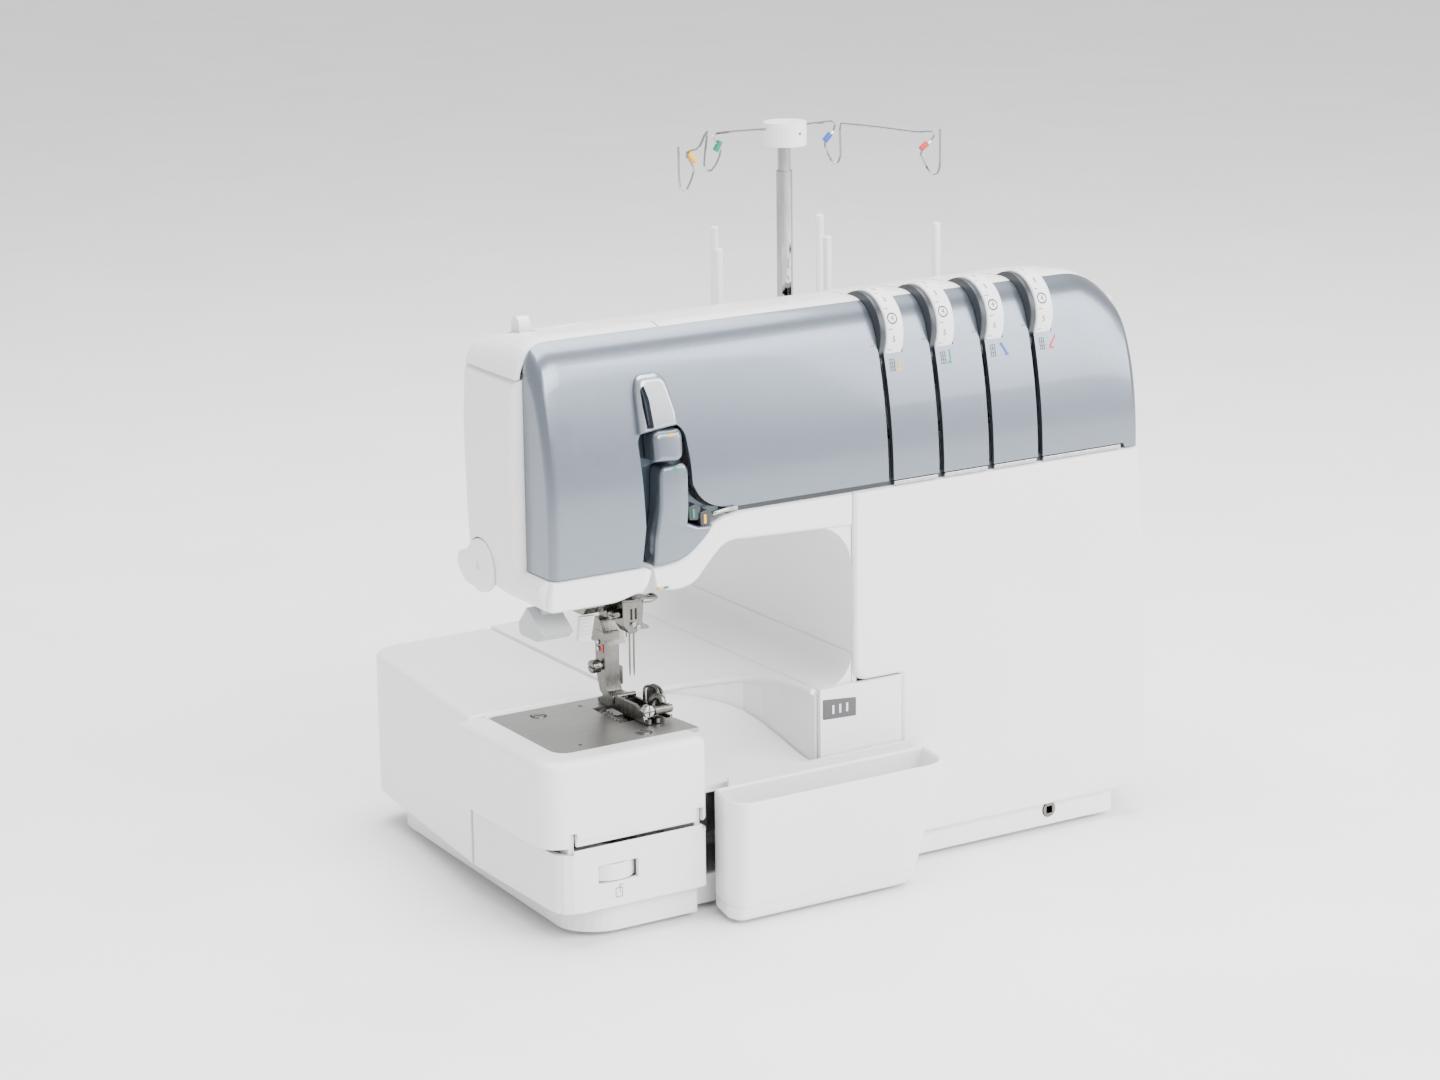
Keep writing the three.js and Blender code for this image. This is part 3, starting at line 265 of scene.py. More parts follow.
def loft(rings):
    """Points and faces joining rings of equal length, with caps on the first and last."""
    count = len(rings[0])
    points = [p for ring in rings for p in ring]
    faces = []
    for i in range(len(rings) - 1):
        for j in range(count):
            k = (j + 1) % count
            faces.append((i * count + j, i * count + k, (i + 1) * count + k, (i + 1) * count + j))
    faces.append(tuple(reversed(range(count))))
    faces.append(tuple(range((len(rings) - 1) * count, len(rings) * count)))
    return points, faces


def soft_slab(axis, corners, low, high, edge_low=0.8, edge_high=0.8, steps=5, round_steps=8):
    """A slab with quarter-round edges at both ends, as loft data."""
    levels = []
    if edge_low:
        levels += [(edge_low * (1 - math.sin(t)), low + edge_low * (1 - math.cos(t)))
                   for t in (math.pi / 2 * k / steps for k in range(steps + 1))]
    else:
        levels.append((0, low))
    if edge_high:
        levels += [(edge_high * (1 - math.cos(t)), high - edge_high * (1 - math.sin(t)))
                   for t in (math.pi / 2 * k / steps for k in range(steps + 1))]
    else:
        levels.append((0, high))
    rings = []
    for distance, level in levels:
        outline = rounded(inset(corners, distance) if distance else corners, round_steps)
        rings.append([place(axis, p.x, p.y, level) for p in outline])
    return loft(rings)


def raw(data):
    """An undressed mesh object from loft data, for booleans."""
    points, faces = data
    mesh = bpy.data.meshes.new("raw")
    mesh.from_pydata([at(*p) for p in points], [], faces)
    obj = bpy.data.objects.new("raw", mesh)
    bpy.context.scene.collection.objects.link(obj)
    tidy_mesh(mesh, 35)
    return obj


def slab(axis, corners, low, high, steps=8):
    return raw(soft_slab(axis, corners, low, high, 0, 0, 1, steps))


def block(x0, x1, y0, y1, z0, z1):
    return slab("z", [(x0, y0), (x1, y0), (x1, y1), (x0, y1)], z0, z1)


def round_bar(axis, a, b, radius, low, high, sides=32, edge=0.0):
    circle = [(a + radius * math.cos(2 * math.pi * k / sides), b + radius * math.sin(2 * math.pi * k / sides))
              for k in range(sides)]
    return raw(soft_slab(axis, circle, low, high, edge, edge, 3))


def apply_all(obj):
    """Bakes an object's modifiers into its mesh."""
    graph = bpy.context.evaluated_depsgraph_get()
    baked = bpy.data.meshes.new_from_object(obj.evaluated_get(graph))
    obj.modifiers.clear()
    old = obj.data
    obj.data = baked
    bpy.data.meshes.remove(old)


def boolean(obj, operation, *tools):
    for tool in tools:
        modifier = obj.modifiers.new("cut", "BOOLEAN")
        modifier.operation = operation
        modifier.solver = "EXACT"
        modifier.object = tool
        apply_all(obj)
        bpy.data.objects.remove(tool)
    return obj


def cut(obj, *tools):
    return boolean(obj, "DIFFERENCE", *tools)


def join(obj, *tools):
    return boolean(obj, "UNION", *tools)


def keep(obj, *tools):
    return boolean(obj, "INTERSECT", *tools)


def soften(obj, width, segments=3, angle=32):
    """Rounds every sharp edge of a piece."""
    bevel = obj.modifiers.new("soft edges", "BEVEL")
    bevel.width = width * MM
    bevel.segments = segments
    bevel.limit_method = "ANGLE"
    bevel.angle_limit = math.radians(angle)
    bevel.use_clamp_overlap = True
    weighted = obj.modifiers.new("flat faces", "WEIGHTED_NORMAL")
    weighted.keep_sharp = True


def finish_piece(obj, name, body, material, nodes=(), width=0.5, segments=3, smooth=40):
    obj.name = name
    obj.data.name = name
    dress(obj, body, material, nodes, smooth)
    if width:
        soften(obj, width, segments)


def tube_along(points, radius, sides=10, smooth_steps=6):
    """Loft data of a round wire through given points."""
    path = smooth_path([Vector(p) for p in points], smooth_steps)
    rings = []
    normal = Vector((0, 0, 1)) if abs((path[1] - path[0]).normalized().z) < 0.9 else Vector((0, 1, 0))
    for i, here in enumerate(path):
        ahead = path[min(i + 1, len(path) - 1)] - path[max(i - 1, 0)]
        ahead.normalize()
        normal = (normal - ahead * normal.dot(ahead)).normalized()
        side = ahead.cross(normal)
        rings.append([tuple(here + normal * radius * math.cos(t) + side * radius * math.sin(t))
                      for t in (2 * math.pi * k / sides for k in range(sides))])
    return loft(rings)


def smooth_path(points, steps):
    """A Catmull-Rom curve through points."""
    padded = [points[0] * 2 - points[1], *points, points[-1] * 2 - points[-2]]
    path = []
    for i in range(1, len(padded) - 2):
        a, b, c, d = padded[i - 1:i + 3]
        for k in range(steps):
            t = k / steps
            path.append(0.5 * (2 * b + (c - a) * t + (2 * a - 5 * b + 4 * c - d) * t * t
                               + (3 * b - a - 3 * c + d) * t ** 3))
    path.append(points[-1])
    return path


# ---------------------------------------------------------------- arm and head shells
def lean(z):
    """How far the arm's front stands behind the tower's plane at a height."""
    if z < 193:
        return 0.0012 * (193 - z) ** 2
    return 0.0021 * (min(z, 268) - 193) ** 2


def arm_section(grow=0.0, drop=0.0):
    """The arm's outline across x: leaning front, rounded top front edge, sloping top, round back."""
    levels = [150, 176, 180, 185, 190, 193, *range(198, 263, 4)]
    front = [(lean(z), z) for z in levels]
    start, control, end = Vector(front[-1]), Vector((15.5, 283.4)), Vector((33, 282.9))
    for k in range(1, 13):
        t = k / 12
        p = start * (1 - t) ** 2 + control * 2 * t * (1 - t) + end * t * t
        front.append((p.x, p.y))
    back = [(52, 281.2), (68, 278.6), (74.5, 277.2), (77.1, 274), (ARM_BACK, 268), (ARM_BACK, 150)]
    corners = inset(front + back, grow) if grow else front + back
    return [(c[0], c[1] - drop * (max(0, c[1] - 205) / 80) ** 2) for c in corners]


def arm_solid(left, right, edge=4.5, left_round=13, right_round=32, wall=0.0):
    """The arm as a loft along x: round upright corners and rounder top corners."""
    def steps(total):
        return [total * (1 - math.cos(math.pi / 2 * k / 9)) for k in range(10)]

    def sink(distance, radius):
        short = max(radius - distance, 0)
        return radius - math.sqrt(max(radius * radius - short * short, 0))

    near = sorted({*steps(left_round), *steps(edge)})
    far = sorted({*steps(right_round), *steps(edge)}, reverse=True)
    stations = [(left + s, sink(s, edge), sink(s, left_round)) for s in near]
    stations += [(right - s, sink(s, edge), sink(s, right_round)) for s in far]
    rings = []
    for x, shrink, drop in stations:
        rings.append([(x, y, z) for y, z in arm_section(shrink + wall, drop)])
    return raw(loft(rings))


def strips(obj, axis, levels):
    """Slices a mesh by planes so that it can be bent."""
    bm = bmesh.new()
    bm.from_mesh(obj.data)
    normal = Vector([1.0 if name == axis else 0.0 for name in "xyz"])
    for level in levels:
        spot = at(*[level if name == axis else 0 for name in "xyz"])
        geometry = bm.verts[:] + bm.edges[:] + bm.faces[:]
        bmesh.ops.bisect_plane(bm, geom=geometry, plane_co=spot, plane_no=normal, dist=1e-7)
    bm.to_mesh(obj.data)
    bm.free()


def lean_back(obj, low=170, high=266):
    """Bends a piece modelled on the tower's plane to follow the leaning arm front."""
    strips(obj, "z", range(low, high, 4))
    for vertex in obj.data.vertices:
        vertex.co.y += lean((vertex.co.z - ORIGIN.z) / MM) * MM
    return obj


# Outlines on the arm's front, in x and z.
LOBE = [
    (-118.6, CHIN_HIGH), (-112, CHIN_HIGH), (-105, 176.3), (-100, 178.1), (-95.6, 181.2), (-91.4, 185),
    (-88, 188.6), (-84, 191.6), (-78, 194.2), (-70, SILVER_LOW),
]
RECESS = [
    (-123.6, 168), (-122.7, 180), (-121.0, 194), (-121.8, 217), (-122.9, 236, 4), (-116, 241.5, 3),
    (-104, 241.5, 3), (-97.4, 236.5, 4), (-95.6, 222), (-95.1, 211), (-91.6, 204, 4), (-84.6, 199.2, 4),
    (-72, 196.9, 3), (-60, 168),
]
LOWER_GUIDE = [
    (-118.4, 176), (-117.7, 189), (-115.1, 204), (-114.2, 218.6, 2), (-112.5, 221.7, 1.5),
    (-100.4, 222.2, 2.5),
    (-99, 218.5), (-99.4, 201), (-100.1, 193.9, 0.8), (-94.3, 191.4, 0.5), (-86.6, 191, 0.6), (-88.6, 187.8),
    (-92, 184.3), (-95.9, 181), (-100.2, 178), (-105, 176.2), (-112, 175.7),
]
UPPER_GUIDE = [
    (-116.4, 224.2, 1), (-116.3, 236.4, 2.5), (-113.6, 238.6, 1.5), (-102, 238.2, 2.5), (-100.7, 235),
    (-101.3, 225.4, 2), (-104.3, 223.3, 1.5),
]
ARCH = [
    (-122.2, 237.5), (-122.2, 256, 6), (-120.4, 264, 7), (-105.8, 264, 6), (-103.4, 253.7, 4),
    (-101.6, 246), (-101.6, 239.6, 2),
]
ARCH_SLIT = [
    (-119.3, 240), (-120.2, 250), (-120.3, 258, 2), (-118.2, 260, 1.4), (-116.4, 253), (-115.5, 240),
]


def make_arm_front_panel():
    body = arm_solid(HEAD_LEFT, ARM_RIGHT)
    cut(body, block(-200, 200, TOP_SEAM, 120, 100, 300))
    cut(body, block(-200, 200, -20, 120, 100, CHIN_HIGH + 0.2))
    low, groove = SILVER_LOW + 0.2, SILVER_LOW + TRIM_RISE
    below = [(-64, 100), (200, 100), (200, low), (TRIM_RIGHT + 1, low), (TRIM_RIGHT, groove), (-72, groove),
             (-90, SILVER_LOW - 5)]
    cut(body, slab("y", below, -20, 60))
    cut(body, arm_solid(HEAD_LEFT + WALL, ARM_RIGHT - WALL, 2.5, 12, 30, WALL))
    cut(body, *[block(x - SLIT_HALF, x + SLIT_HALF, -5, 60, SLIT_LOW, 300) for x in SLOTS])
    cut(body, *[block(x - WINDOW_LEFT, x + WINDOW_RIGHT, -5, 60, WINDOW_LOW, 300) for x in SLOTS])
    cut(body, slab("y", RECESS, -10, 40))
    cut(body, slab("y", inset(ARCH_SLIT, 0.4), -10, 40))
    finish_piece(body, "arm_front_shell", "machine", "silver_paint", ["arm_front_panel"], 0.6,
                 smooth=30)


def make_thread_guides():
    """The dark recess, the two thread guide blocks, the take-up arch and the arrows on them."""
    back = lean_back(slab("y", inset(RECESS[:-1], -1.2), 6.5, 8.0), 170, 262)
    keep(back, block(-124, -70, -5, 40, 177, 243))
    join(back, lean_back(slab("y", ARCH_SLIT, 4, 6), 236, 262))
    finish_piece(back, "thread_recess", "machine", "recess_paint", ["thread_channel"], 0.2)
    lower = lean_back(raw(soft_slab("y", LOWER_GUIDE, -3.6, 6.2, 1.9, 0.3, 6)), 180, 222)
    upper = lean_back(raw(soft_slab("y", UPPER_GUIDE, -4.6, 5.8, 2.9, 0.3, 6)), 226, 240)
    for obj, name in ((lower, "thread_guide_lower"), (upper, "thread_guide_upper")):
        finish_piece(obj, name, "machine", "silver_paint", ["thread_guide_plate"], 0)
    arch = raw(soft_slab("y", ARCH, -4.2, 2.5, 3.2, 0.2, 7))
    cut(arch, slab("y", ARCH_SLIT, -8, 8))
    lean_back(arch, 240, 264)
    finish_piece(arch, "take_up_arch", "machine", "light_silver", ["thread_arch"], 0.5)
    for x, z, front, colour in ((-107.2, 236.2, -4.75, "yellow"), (-106.4, 220.2, -3.75, "green")):
        arrow = [(x - 2, z - 0.7), (x - 0.9, z + 0.7), (x + 0.9, z + 0.7), (x + 2, z - 0.7)]
        mark = lean_back(slab("y", arrow, front, front + 0.6), 220, 240)
        finish_piece(mark, f"guide_arrow_{colour}", "machine", colour, width=0.1)


def make_thread_hooks():
    """Two hooks beside the lower guide, with coloured stripes, and the wire that leads to them."""
    for i, (x, z, colour) in enumerate(((-96.2, 198.2, "green"), (-90.6, 195.0, "yellow"))):
        hook = [(x - 2.4, z - 3.8, 1), (x - 2.9, z + 2.4, 1), (x + 1.4, z + 3.6, 1), (x + 4.2, z + 1.6, 1),
                (x + 2.6, z - 4.4, 1)]
        finish_piece(raw(soft_slab("y", hook, -1.4 - i, 5, 0.6, 0.6)), f"thread_hook_{i + 1}", "machine",
                     "dark_plastic", width=0)
        stripe = [(x - 0.8, z - 2.8, 0.4), (x - 0.9, z + 1.6, 0.4), (x + 0.4, z + 1.6, 0.4),
                  (x + 0.5, z - 2.8, 0.4)]
        mark = slab("y", stripe, -1.75 - i, -1.2 - i)
        finish_piece(mark, f"thread_hook_mark_{i + 1}", "machine", colour, width=0.1)
    rail = [(-86, 3, 194.6), (-84.6, -0.6, 195.8), (-79, -1.4, 196.8), (-72.8, -1.6, 197)]
    finish_piece(raw(tube_along(rail, 1.0, 12)), "thread_rail", "machine", "bright_chrome", width=0)


def make_trim():
    """The chrome strip under the silver panel, in one length per slit, and the shadow groove behind it."""
    ends = [slot + side for slot in SLOTS for side in (-SLIT_HALF, SLIT_HALF)][1:] + [TRIM_RIGHT - 1]
    for i in range(len(SLOTS)):
        x0, x1 = ends[2 * i] + 0.4, ends[2 * i + 1] - 0.4
        outline = [(x0, SILVER_LOW - 0.3, 0.4), (x1, SILVER_LOW - 0.3, 0.4), (x1, SILVER_LOW + 1.9, 0.4),
                   (x0, SILVER_LOW + 1.9, 0.4)]
        finish_piece(raw(soft_slab("y", outline, 0.1, 2.2, 0.5, 0.3)), f"arm_trim_strip_{i + 1}", "machine",
                     "bright_chrome", width=0)
    low, high = SILVER_LOW - 2, SILVER_LOW + 3.4
    shadow = slab("y", [(-76, low), (TRIM_RIGHT, low), (TRIM_RIGHT, high), (-76, high)], 2.6, 3.4)
    finish_piece(shadow, "arm_trim_shadow", "machine", "dark_plastic", width=0.2)


def make_cheek_marks():
    for x, colour in ((-114.0, "yellow"), (-110.6, "green")):
        dot = [(x - 1.4, 163.2, 0.4), (x - 0.9, 164.5, 0.4), (x + 1.3, 164.3, 0.4), (x + 1.5, 163.4, 0.4)]
        finish_piece(slab("y", dot, 0.25, 1.6), f"cheek_mark_{colour}", "machine", colour, width=0.1)


def make_top_cover():
    body = arm_solid(-174.6, ARM_RIGHT, 6, 17, 32)
    cut(body, block(-200, 200, -20, TOP_SEAM + GAP, 100, 300))
    cut(body, block(-200, 200, -20, 120, 100, 265.5))
    cut(body, arm_solid(-172, ARM_RIGHT - WALL, 4, 15, 30, WALL))
    cut(body, *[block(x - 1.6, x + 12.6, 20, 43.6, 255, 300) for x in SLOTS])
    cut(body, *[block(x - 0.6, x + 0.6, 43, 76, 278.5 - 0.1 * i, 300) for i, x in enumerate(SLOTS)])
    recess = [(MAST[0] - 16, 66, 5), (MAST[0] + 16, 66, 5), (MAST[0] + 20, 90), (MAST[0] - 20, 90)]
    cut(body, slab("z", recess, 273.4, 300), block(-158.5, -148.5, 49.5, 62.5, 250, 300))
    scoop = [(-146, 52, 4), (-128, 53, 4), (-112, 62, 5), (-118, 66, 4), (-146, 60, 4)]
    cut(body, slab("z", scoop, 278.8, 300))
    seam = [(-98, TOP_SEAM), (-97, 34), (-104, 46), (-121, 60), (-121.6, 59.4), (-105, 45.6), (-98, 33.8),
            (-99, TOP_SEAM)]
    cut(body, slab("z", seam, 280.4, 300))
    finish_piece(body, "top_cover_shell", "machine", "white_shell", ["top_cover"], 0.5,
                 smooth=30)


def make_head_end_cover():
    """The cover at the head's left end: its side bulges most at mid height."""
    seam, low = TOP_SEAM + GAP, CHIN_HIGH - GAP
    outline = [(3, HEAD_LOW, 3), (44, HEAD_LOW, 6), (64, 164, 10), (74.5, 178, 8), (76.5, 240),
               (76.5, 265.2, 2), (seam, 265.2), (seam, low), (3, low)]
    body = raw(soft_slab("x", outline, -176.4, -167, 5.5, 0.4, 8))
    strips(body, "z", range(164, 264, 5))
    for vertex in body.data.vertices:
        height = (vertex.co.z / MM - 215) / 50
        vertex.co.x += max(0, height * height - 0.12) * 1.9 * MM
    cut(body, block(-172.2, -150, 27, 73, 172, 262))
    cut(body, round_bar("x", *LIFTER, 13.6, -190, -172.4, 48), round_bar("x", *LIFTER, 3.4, -190, -150))
    finish_piece(body, "head_end_shell", "machine", "white_shell", ["head_end_cover"], 0.3,
                 smooth=30)


def make_lower_cover():
    outline = [
        (-173.2, HEAD_LOW, 5), (-136, HEAD_LOW, 5), (-126, 162.6, 6), (-116, 163.6, 6), (-104, 160.8, 8),
        (-94, 163, 8), (-86.4, 171.8, 8), (-77, 181, 10), (-60, 180, 6), (TOWER_LEFT - GAP, 178),
        (TOWER_LEFT - GAP, SILVER_LOW - 0.6), *[(x + 0.35, z - 0.5) for x, z in reversed(LOBE[1:])],
        (-120, CHIN_HIGH - 0.4), (-171, CHIN_HIGH - 0.4),
    ]
    body = raw(soft_slab("y", outline, 0.5, 74.6, 2.4, 1.0, 6))
    cut(body, block(-169, -98, 4, 71, 150, 173.2), block(-200, -137.2, 26.3, 80, 100, 200))
    cut(body, block(-169, -100, 26, 71, 150, 190))
    cut(body, block(-66, -12, 6, 70, 184, 200))
    funnel = [(-126.5, 155), (-113.4, 155), (-116.6, 172), (-117.4, 180), (-120.6, 180), (-121, 172)]
    cut(body, slab("y", funnel, -4, 9))
    finish_piece(body, "arm_lower_shell", "machine", "white_shell", ["arm_lower_cover"], 0.4)


def make_tower_front():
    outline = [
        (COVER_SEAM, 15), (174.7, 15, 10), (173.4, 100), (ARM_RIGHT + 0.6, SILVER_LOW - 0.5),
        (TOWER_LEFT, SILVER_LOW - 0.5), (TOWER_LEFT, BED_HIGH + 1.3, 8), (COVER_SEAM, BED_HIGH + 1.3, 2),
    ]
    body = raw(soft_slab("y", outline, 0, 20, 2.6, 0, 5))
    cut(body, slab("y", inset(outline, WALL), WALL, 30), block(-20, 60, 2.7, 30, 0, 200))
    finish_piece(body, "tower_front_shell", "machine", "white_shell", ["tower_front_panel"],
                 0.3)


def make_fillets():
    """Concave blends of the tower's left wall into the bed and the belly."""
    wall = TOWER_LEFT - GAP
    low = [(wall, BED_HIGH - 1), *[(wall - 15 * (1 - math.sin(t)), BED_HIGH + 15.5 * (1 - math.cos(t)))
                                   for t in (math.pi / 2 * k / 10 for k in range(10, -1, -1))]]
    low.append((wall - 17, BED_HIGH - 1))
    finish_piece(slab("y", low, 3, 192), "bed_wall_blend", "machine", "white_shell", width=0, smooth=50)
    high = [(wall, 180), *[(wall - 22 * (1 - math.sin(t)), 179.6 - 22 * (1 - math.cos(t)))
                           for t in (math.pi / 2 * k / 10 for k in range(10, -1, -1))]]
    high.append((wall - 22, 180))
    finish_piece(slab("y", high, 3, 72), "belly_wall_blend", "machine", "white_shell", width=0, smooth=50)
    lip = [(-76, 65.6, 91.6), (-66, 64.2, 92.1), (-56.5, 60.4, 92.9), (-47, 55, 94), (-39.3, 48.6, 95.3),
           (-34, 38.5, 96.6), (-31, 27.5, 97.6), (-29.4, 13, 98.3), (-28.6, 2, 98.6)]
    finish_piece(raw(tube_along(lip, 1.5, 14)), "bed_lip", "machine", "white_shell", width=0)


def make_bin():
    rim = [(-92, -20, 15), (-88, -31, 12), (30, -31, 15), (34, -2, 3), (-88, -2, 3)]
    foot = [(-91.7, -20, 13), (-88, -27, 10), (14, -27, 13), (18, -2, 3), (-88, -2, 3)]

    def ring(level, shrink):
        t = (level - 2.2) / 59.8
        corners = []
        for a, b in zip(foot, rim):
            corners.append(tuple(u + (v - u) * t for u, v in zip(a, b)))
        return [(p.x, p.y, level) for p in rounded(inset(corners, shrink) if shrink else corners, 12)]

    outer = [(2.2, 2.0), (2.6, 1.2), (3.4, 0.5), (4.6, 0.1), (8.4, 0), (8.8, 0.5), (9.4, 0.5), (9.8, 0),
             (20, 0), (35, 0), (50, 0), (60.4, 0), (61.3, 0.3), (61.9, 1.0)]
    inner = [(61.9, 1.5), (61.3, 2.2), (60.4, 2.5), (50, 2.5), (35, 2.5), (20, 2.5), (10, 2.8), (7, 4),
             (5.6, 6), (5.2, 9)]
    body = raw(loft([ring(*r) for r in outer + inner]))
    join(body, block(-80, 24, -3.4, -2.0, 50, 66))
    finish_piece(body, "waste_bin_shell", "bin", "white_shell", ["waste_bin"], 0.3,
                 smooth=32)


def make_hood():
    """The hood over the loopers, its hinge knuckles, and the ledge that closes the gap under it."""
    left, right, front, back = (BLOCK[side] for side in ("left", "right", "front", "back"))
    outline = [(left, front, 14), (right, front, 4), (right, back), (left, back)]
    body = raw(soft_slab("z", outline, 49.7, 91.6, 1.6, 4.2, 7, 12))
    cut(body, slab("z", inset(outline, WALL), 40, 88.6))
    plate = [(-168.3, 3.7, 9), (-80, 3.7), (-80, 90), (-168.3, 90)]
    cut(body, slab("z", plate, 80, 100), block(-150, -90, 30, 90, 40, 88.2))
    grip = [(-176, 46, 4), (-172, 53.6, 5), (-134, 52, 5), (-128, 46, 4)]
    cut(body, slab("y", grip, -20, -8.2))
    y, z = HOOD_HINGE
    for x in KNUCKLES:
        low, high = x - KNUCKLE_HALF, x + KNUCKLE_HALF
        knuckle = round_bar("x", y, z, 3.4, low, high, 28)
        join(knuckle, block(low, high, front + 1, y, z - 1.4, z + 1.4))
        join(body, knuckle)
    cut(body, round_bar("x", y, z, 1.9, -178, -92, 24))
    cut(body, *[block(x - 2, x + 2, -12, 4, 48, 56.8) for x in HINGE_POSTS])
    ledge = slab("y", [(-168, 45.6), (-98.6, 45.6), (-98.6, 48.2), (-168, 48.2)], -9.2, -8.5)
    finish_piece(ledge, "block_ledge", "machine", "white_shell", width=0.2)
    finish_piece(body, "looper_cover_shell", "looper_hood", "white_shell", ["looper_cover"],
                 0.4)


def make_table():
    low = (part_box("extension_table")[0] - ORIGIN).z / MM
    outline = [(-176, 78.1), (-91.3, 78.1), (-91.3, 213, 4), (-162, 213, 16)]
    body = raw(soft_slab("z", outline, low, BED, 1.5, 4.0, 7, 12))
    cut(body, slab("z", inset(outline, WALL), 0, BED - WALL), block(-94.5, -80, 80.6, 210, 0, BED - WALL))
    finish_piece(body, "extension_table_shell", "table", "white_shell", ["extension_table"],
                 0.3)


def make_lifter():
    disc = round_bar("x", *LIFTER, 12.8, -177.4, -173.4, 64, 1.2)
    tail = [(58, 160, 2), (73, 160.5, 3), (80.5, 167, 3), (80, 174, 3), (66, 179, 3)]
    join(disc, raw(soft_slab("x", tail, -177.6, -176.5, 0.5, 0.4)))
    cut(disc, round_bar("x", *LIFTER, 2.2, -180, -176.6, 20))
    join(disc, round_bar("x", *LIFTER, 2.9, -174, -128, 24))
    finish_piece(disc, "lifter_disc", "lifter", "white_shell", ["presser_lifter_lever"],
                 0)


def make_plate():
    outline = [(-168, 4, 9), (-91, 4, 2), (-93, 24), (-96.8, 26), (-96.8, 54), (-91, 56), (-91, 73.1, 3),
               (-168, 73.1, 5)]
    body = raw(soft_slab("z", outline, 89.3, 91.45, 0, 0.35, 3))
    cut(body, block(-119, -97.6, 31, 58.4, 80, 100))
    holes = [round_bar("z", x, y, r, 80, 100, 20) for x, y, r in ((-121.5, 65, 1.2), (-151.6, 12.2, 1.0))]
    wells = [round_bar("z", x, y, 4.1, 90.6, 100, 28) for x, y in PLATE_SCREWS]
    cut(body, *holes, *wells)
    finish_piece(body, "stitch_plate_top", "machine", "plate_steel", ["stitch_plate"], 0.1, 2)
    for i, (x, y) in enumerate(PLATE_SCREWS):
        head = round_bar("z", x, y, 3.4, 90.2, 91.9, 28, 0.7)
        cut(head, block(x - 4, x + 4, y - 0.5, y + 0.5, 91.3, 93))
        finish_piece(head, f"plate_screw_{i + 1}", "machine", "plated_steel", width=0.1)


def make_shells():
    make_arm_front_panel()
    make_thread_guides()
    make_thread_hooks()
    make_trim()
    make_cheek_marks()
    make_top_cover()
    make_head_end_cover()
    make_lower_cover()
    make_tower_front()
    make_fillets()
    make_bin()
    make_hood()
    make_table()
    make_lifter()
    make_plate()


# ---------------------------------------------------------------- sewing parts
def add_piece(obj, name, body, material, nodes=(), width=0.25, smooth=35):
    """finish_piece() with the finer edges of small parts."""
    finish_piece(obj, name, body, material, nodes, width, 2, smooth)


def make_needle_clamp():
    shape = [(-112.4, 148.8, 0.6), (-100.6, 148.8, 0.6), (-101.2, 141), (-101.6, 136.4, 1),
             (-98.0, 134.4, 0.4), (-98.2, 133, 0.4), (-103.8, 133.2, 0.8), (-105.2, 131.8, 0.5),
             (-108.6, 131.8, 0.8), (-112, 136.5, 1)]
    clamp = slab("y", shape, 38.2, 47)
    join(clamp, round_bar("z", *NEEDLE, 3.1, 146, 249))
    cut(clamp, *[block(x - 0.55, x + 0.55, 37, 39.4, 138.6, 144) for x in (-107.6, -105.2)])
    add_piece(clamp, "needle_clamp", "needle_carrier", "plated_steel", ["needle_bar"], 0.35)
    for i, (x, z) in enumerate(((-106.9, 136.4), (-104.4, 134.8))):
        screw = round_bar("y", x, z, 1.25, 36.8, 39, 18, 0.3)
        cut(screw, block(x - 1.4, x + 1.4, 36, 37.3, z - 0.2, z + 0.2))
        add_piece(screw, f"needle_screw_{i + 1}", "needle_carrier", "bright_chrome", width=0)
    thumb = round_bar("x", 42, 141.5, 2.4, -117, -112.3, 20, 0.5)
    cut(thumb, block(-118, -115.8, 39, 45, 141.2, 141.8))
    add_piece(thumb, "needle_clamp_screw", "needle_carrier", "plated_steel", width=0)
    guide = [(-115.6, 33, 1.5), (-110, 30.4, 2), (-103.6, 32.8, 2), (-97.4, 30, 1.2), (-96.6, 33, 1),
             (-102, 37, 2), (-104, 44, 2), (-112, 45, 2)]
    add_piece(raw(soft_slab("z", guide, 149.4, 150.9, 0.5, 0.5)), "needle_thread_guide", "needle_carrier",
              "plated_steel", width=0)
    hook = [(-101, 37.6, 149.8), (-98.4, 33.4, 151.4), (-97.2, 32.2, 149.4), (-98.6, 35, 147.2),
            (-101, 37.6, 146.4)]
    add_piece(raw(tube_along(hook, 0.45, 8)), "needle_thread_hook", "needle_carrier", "bright_chrome",
              width=0)


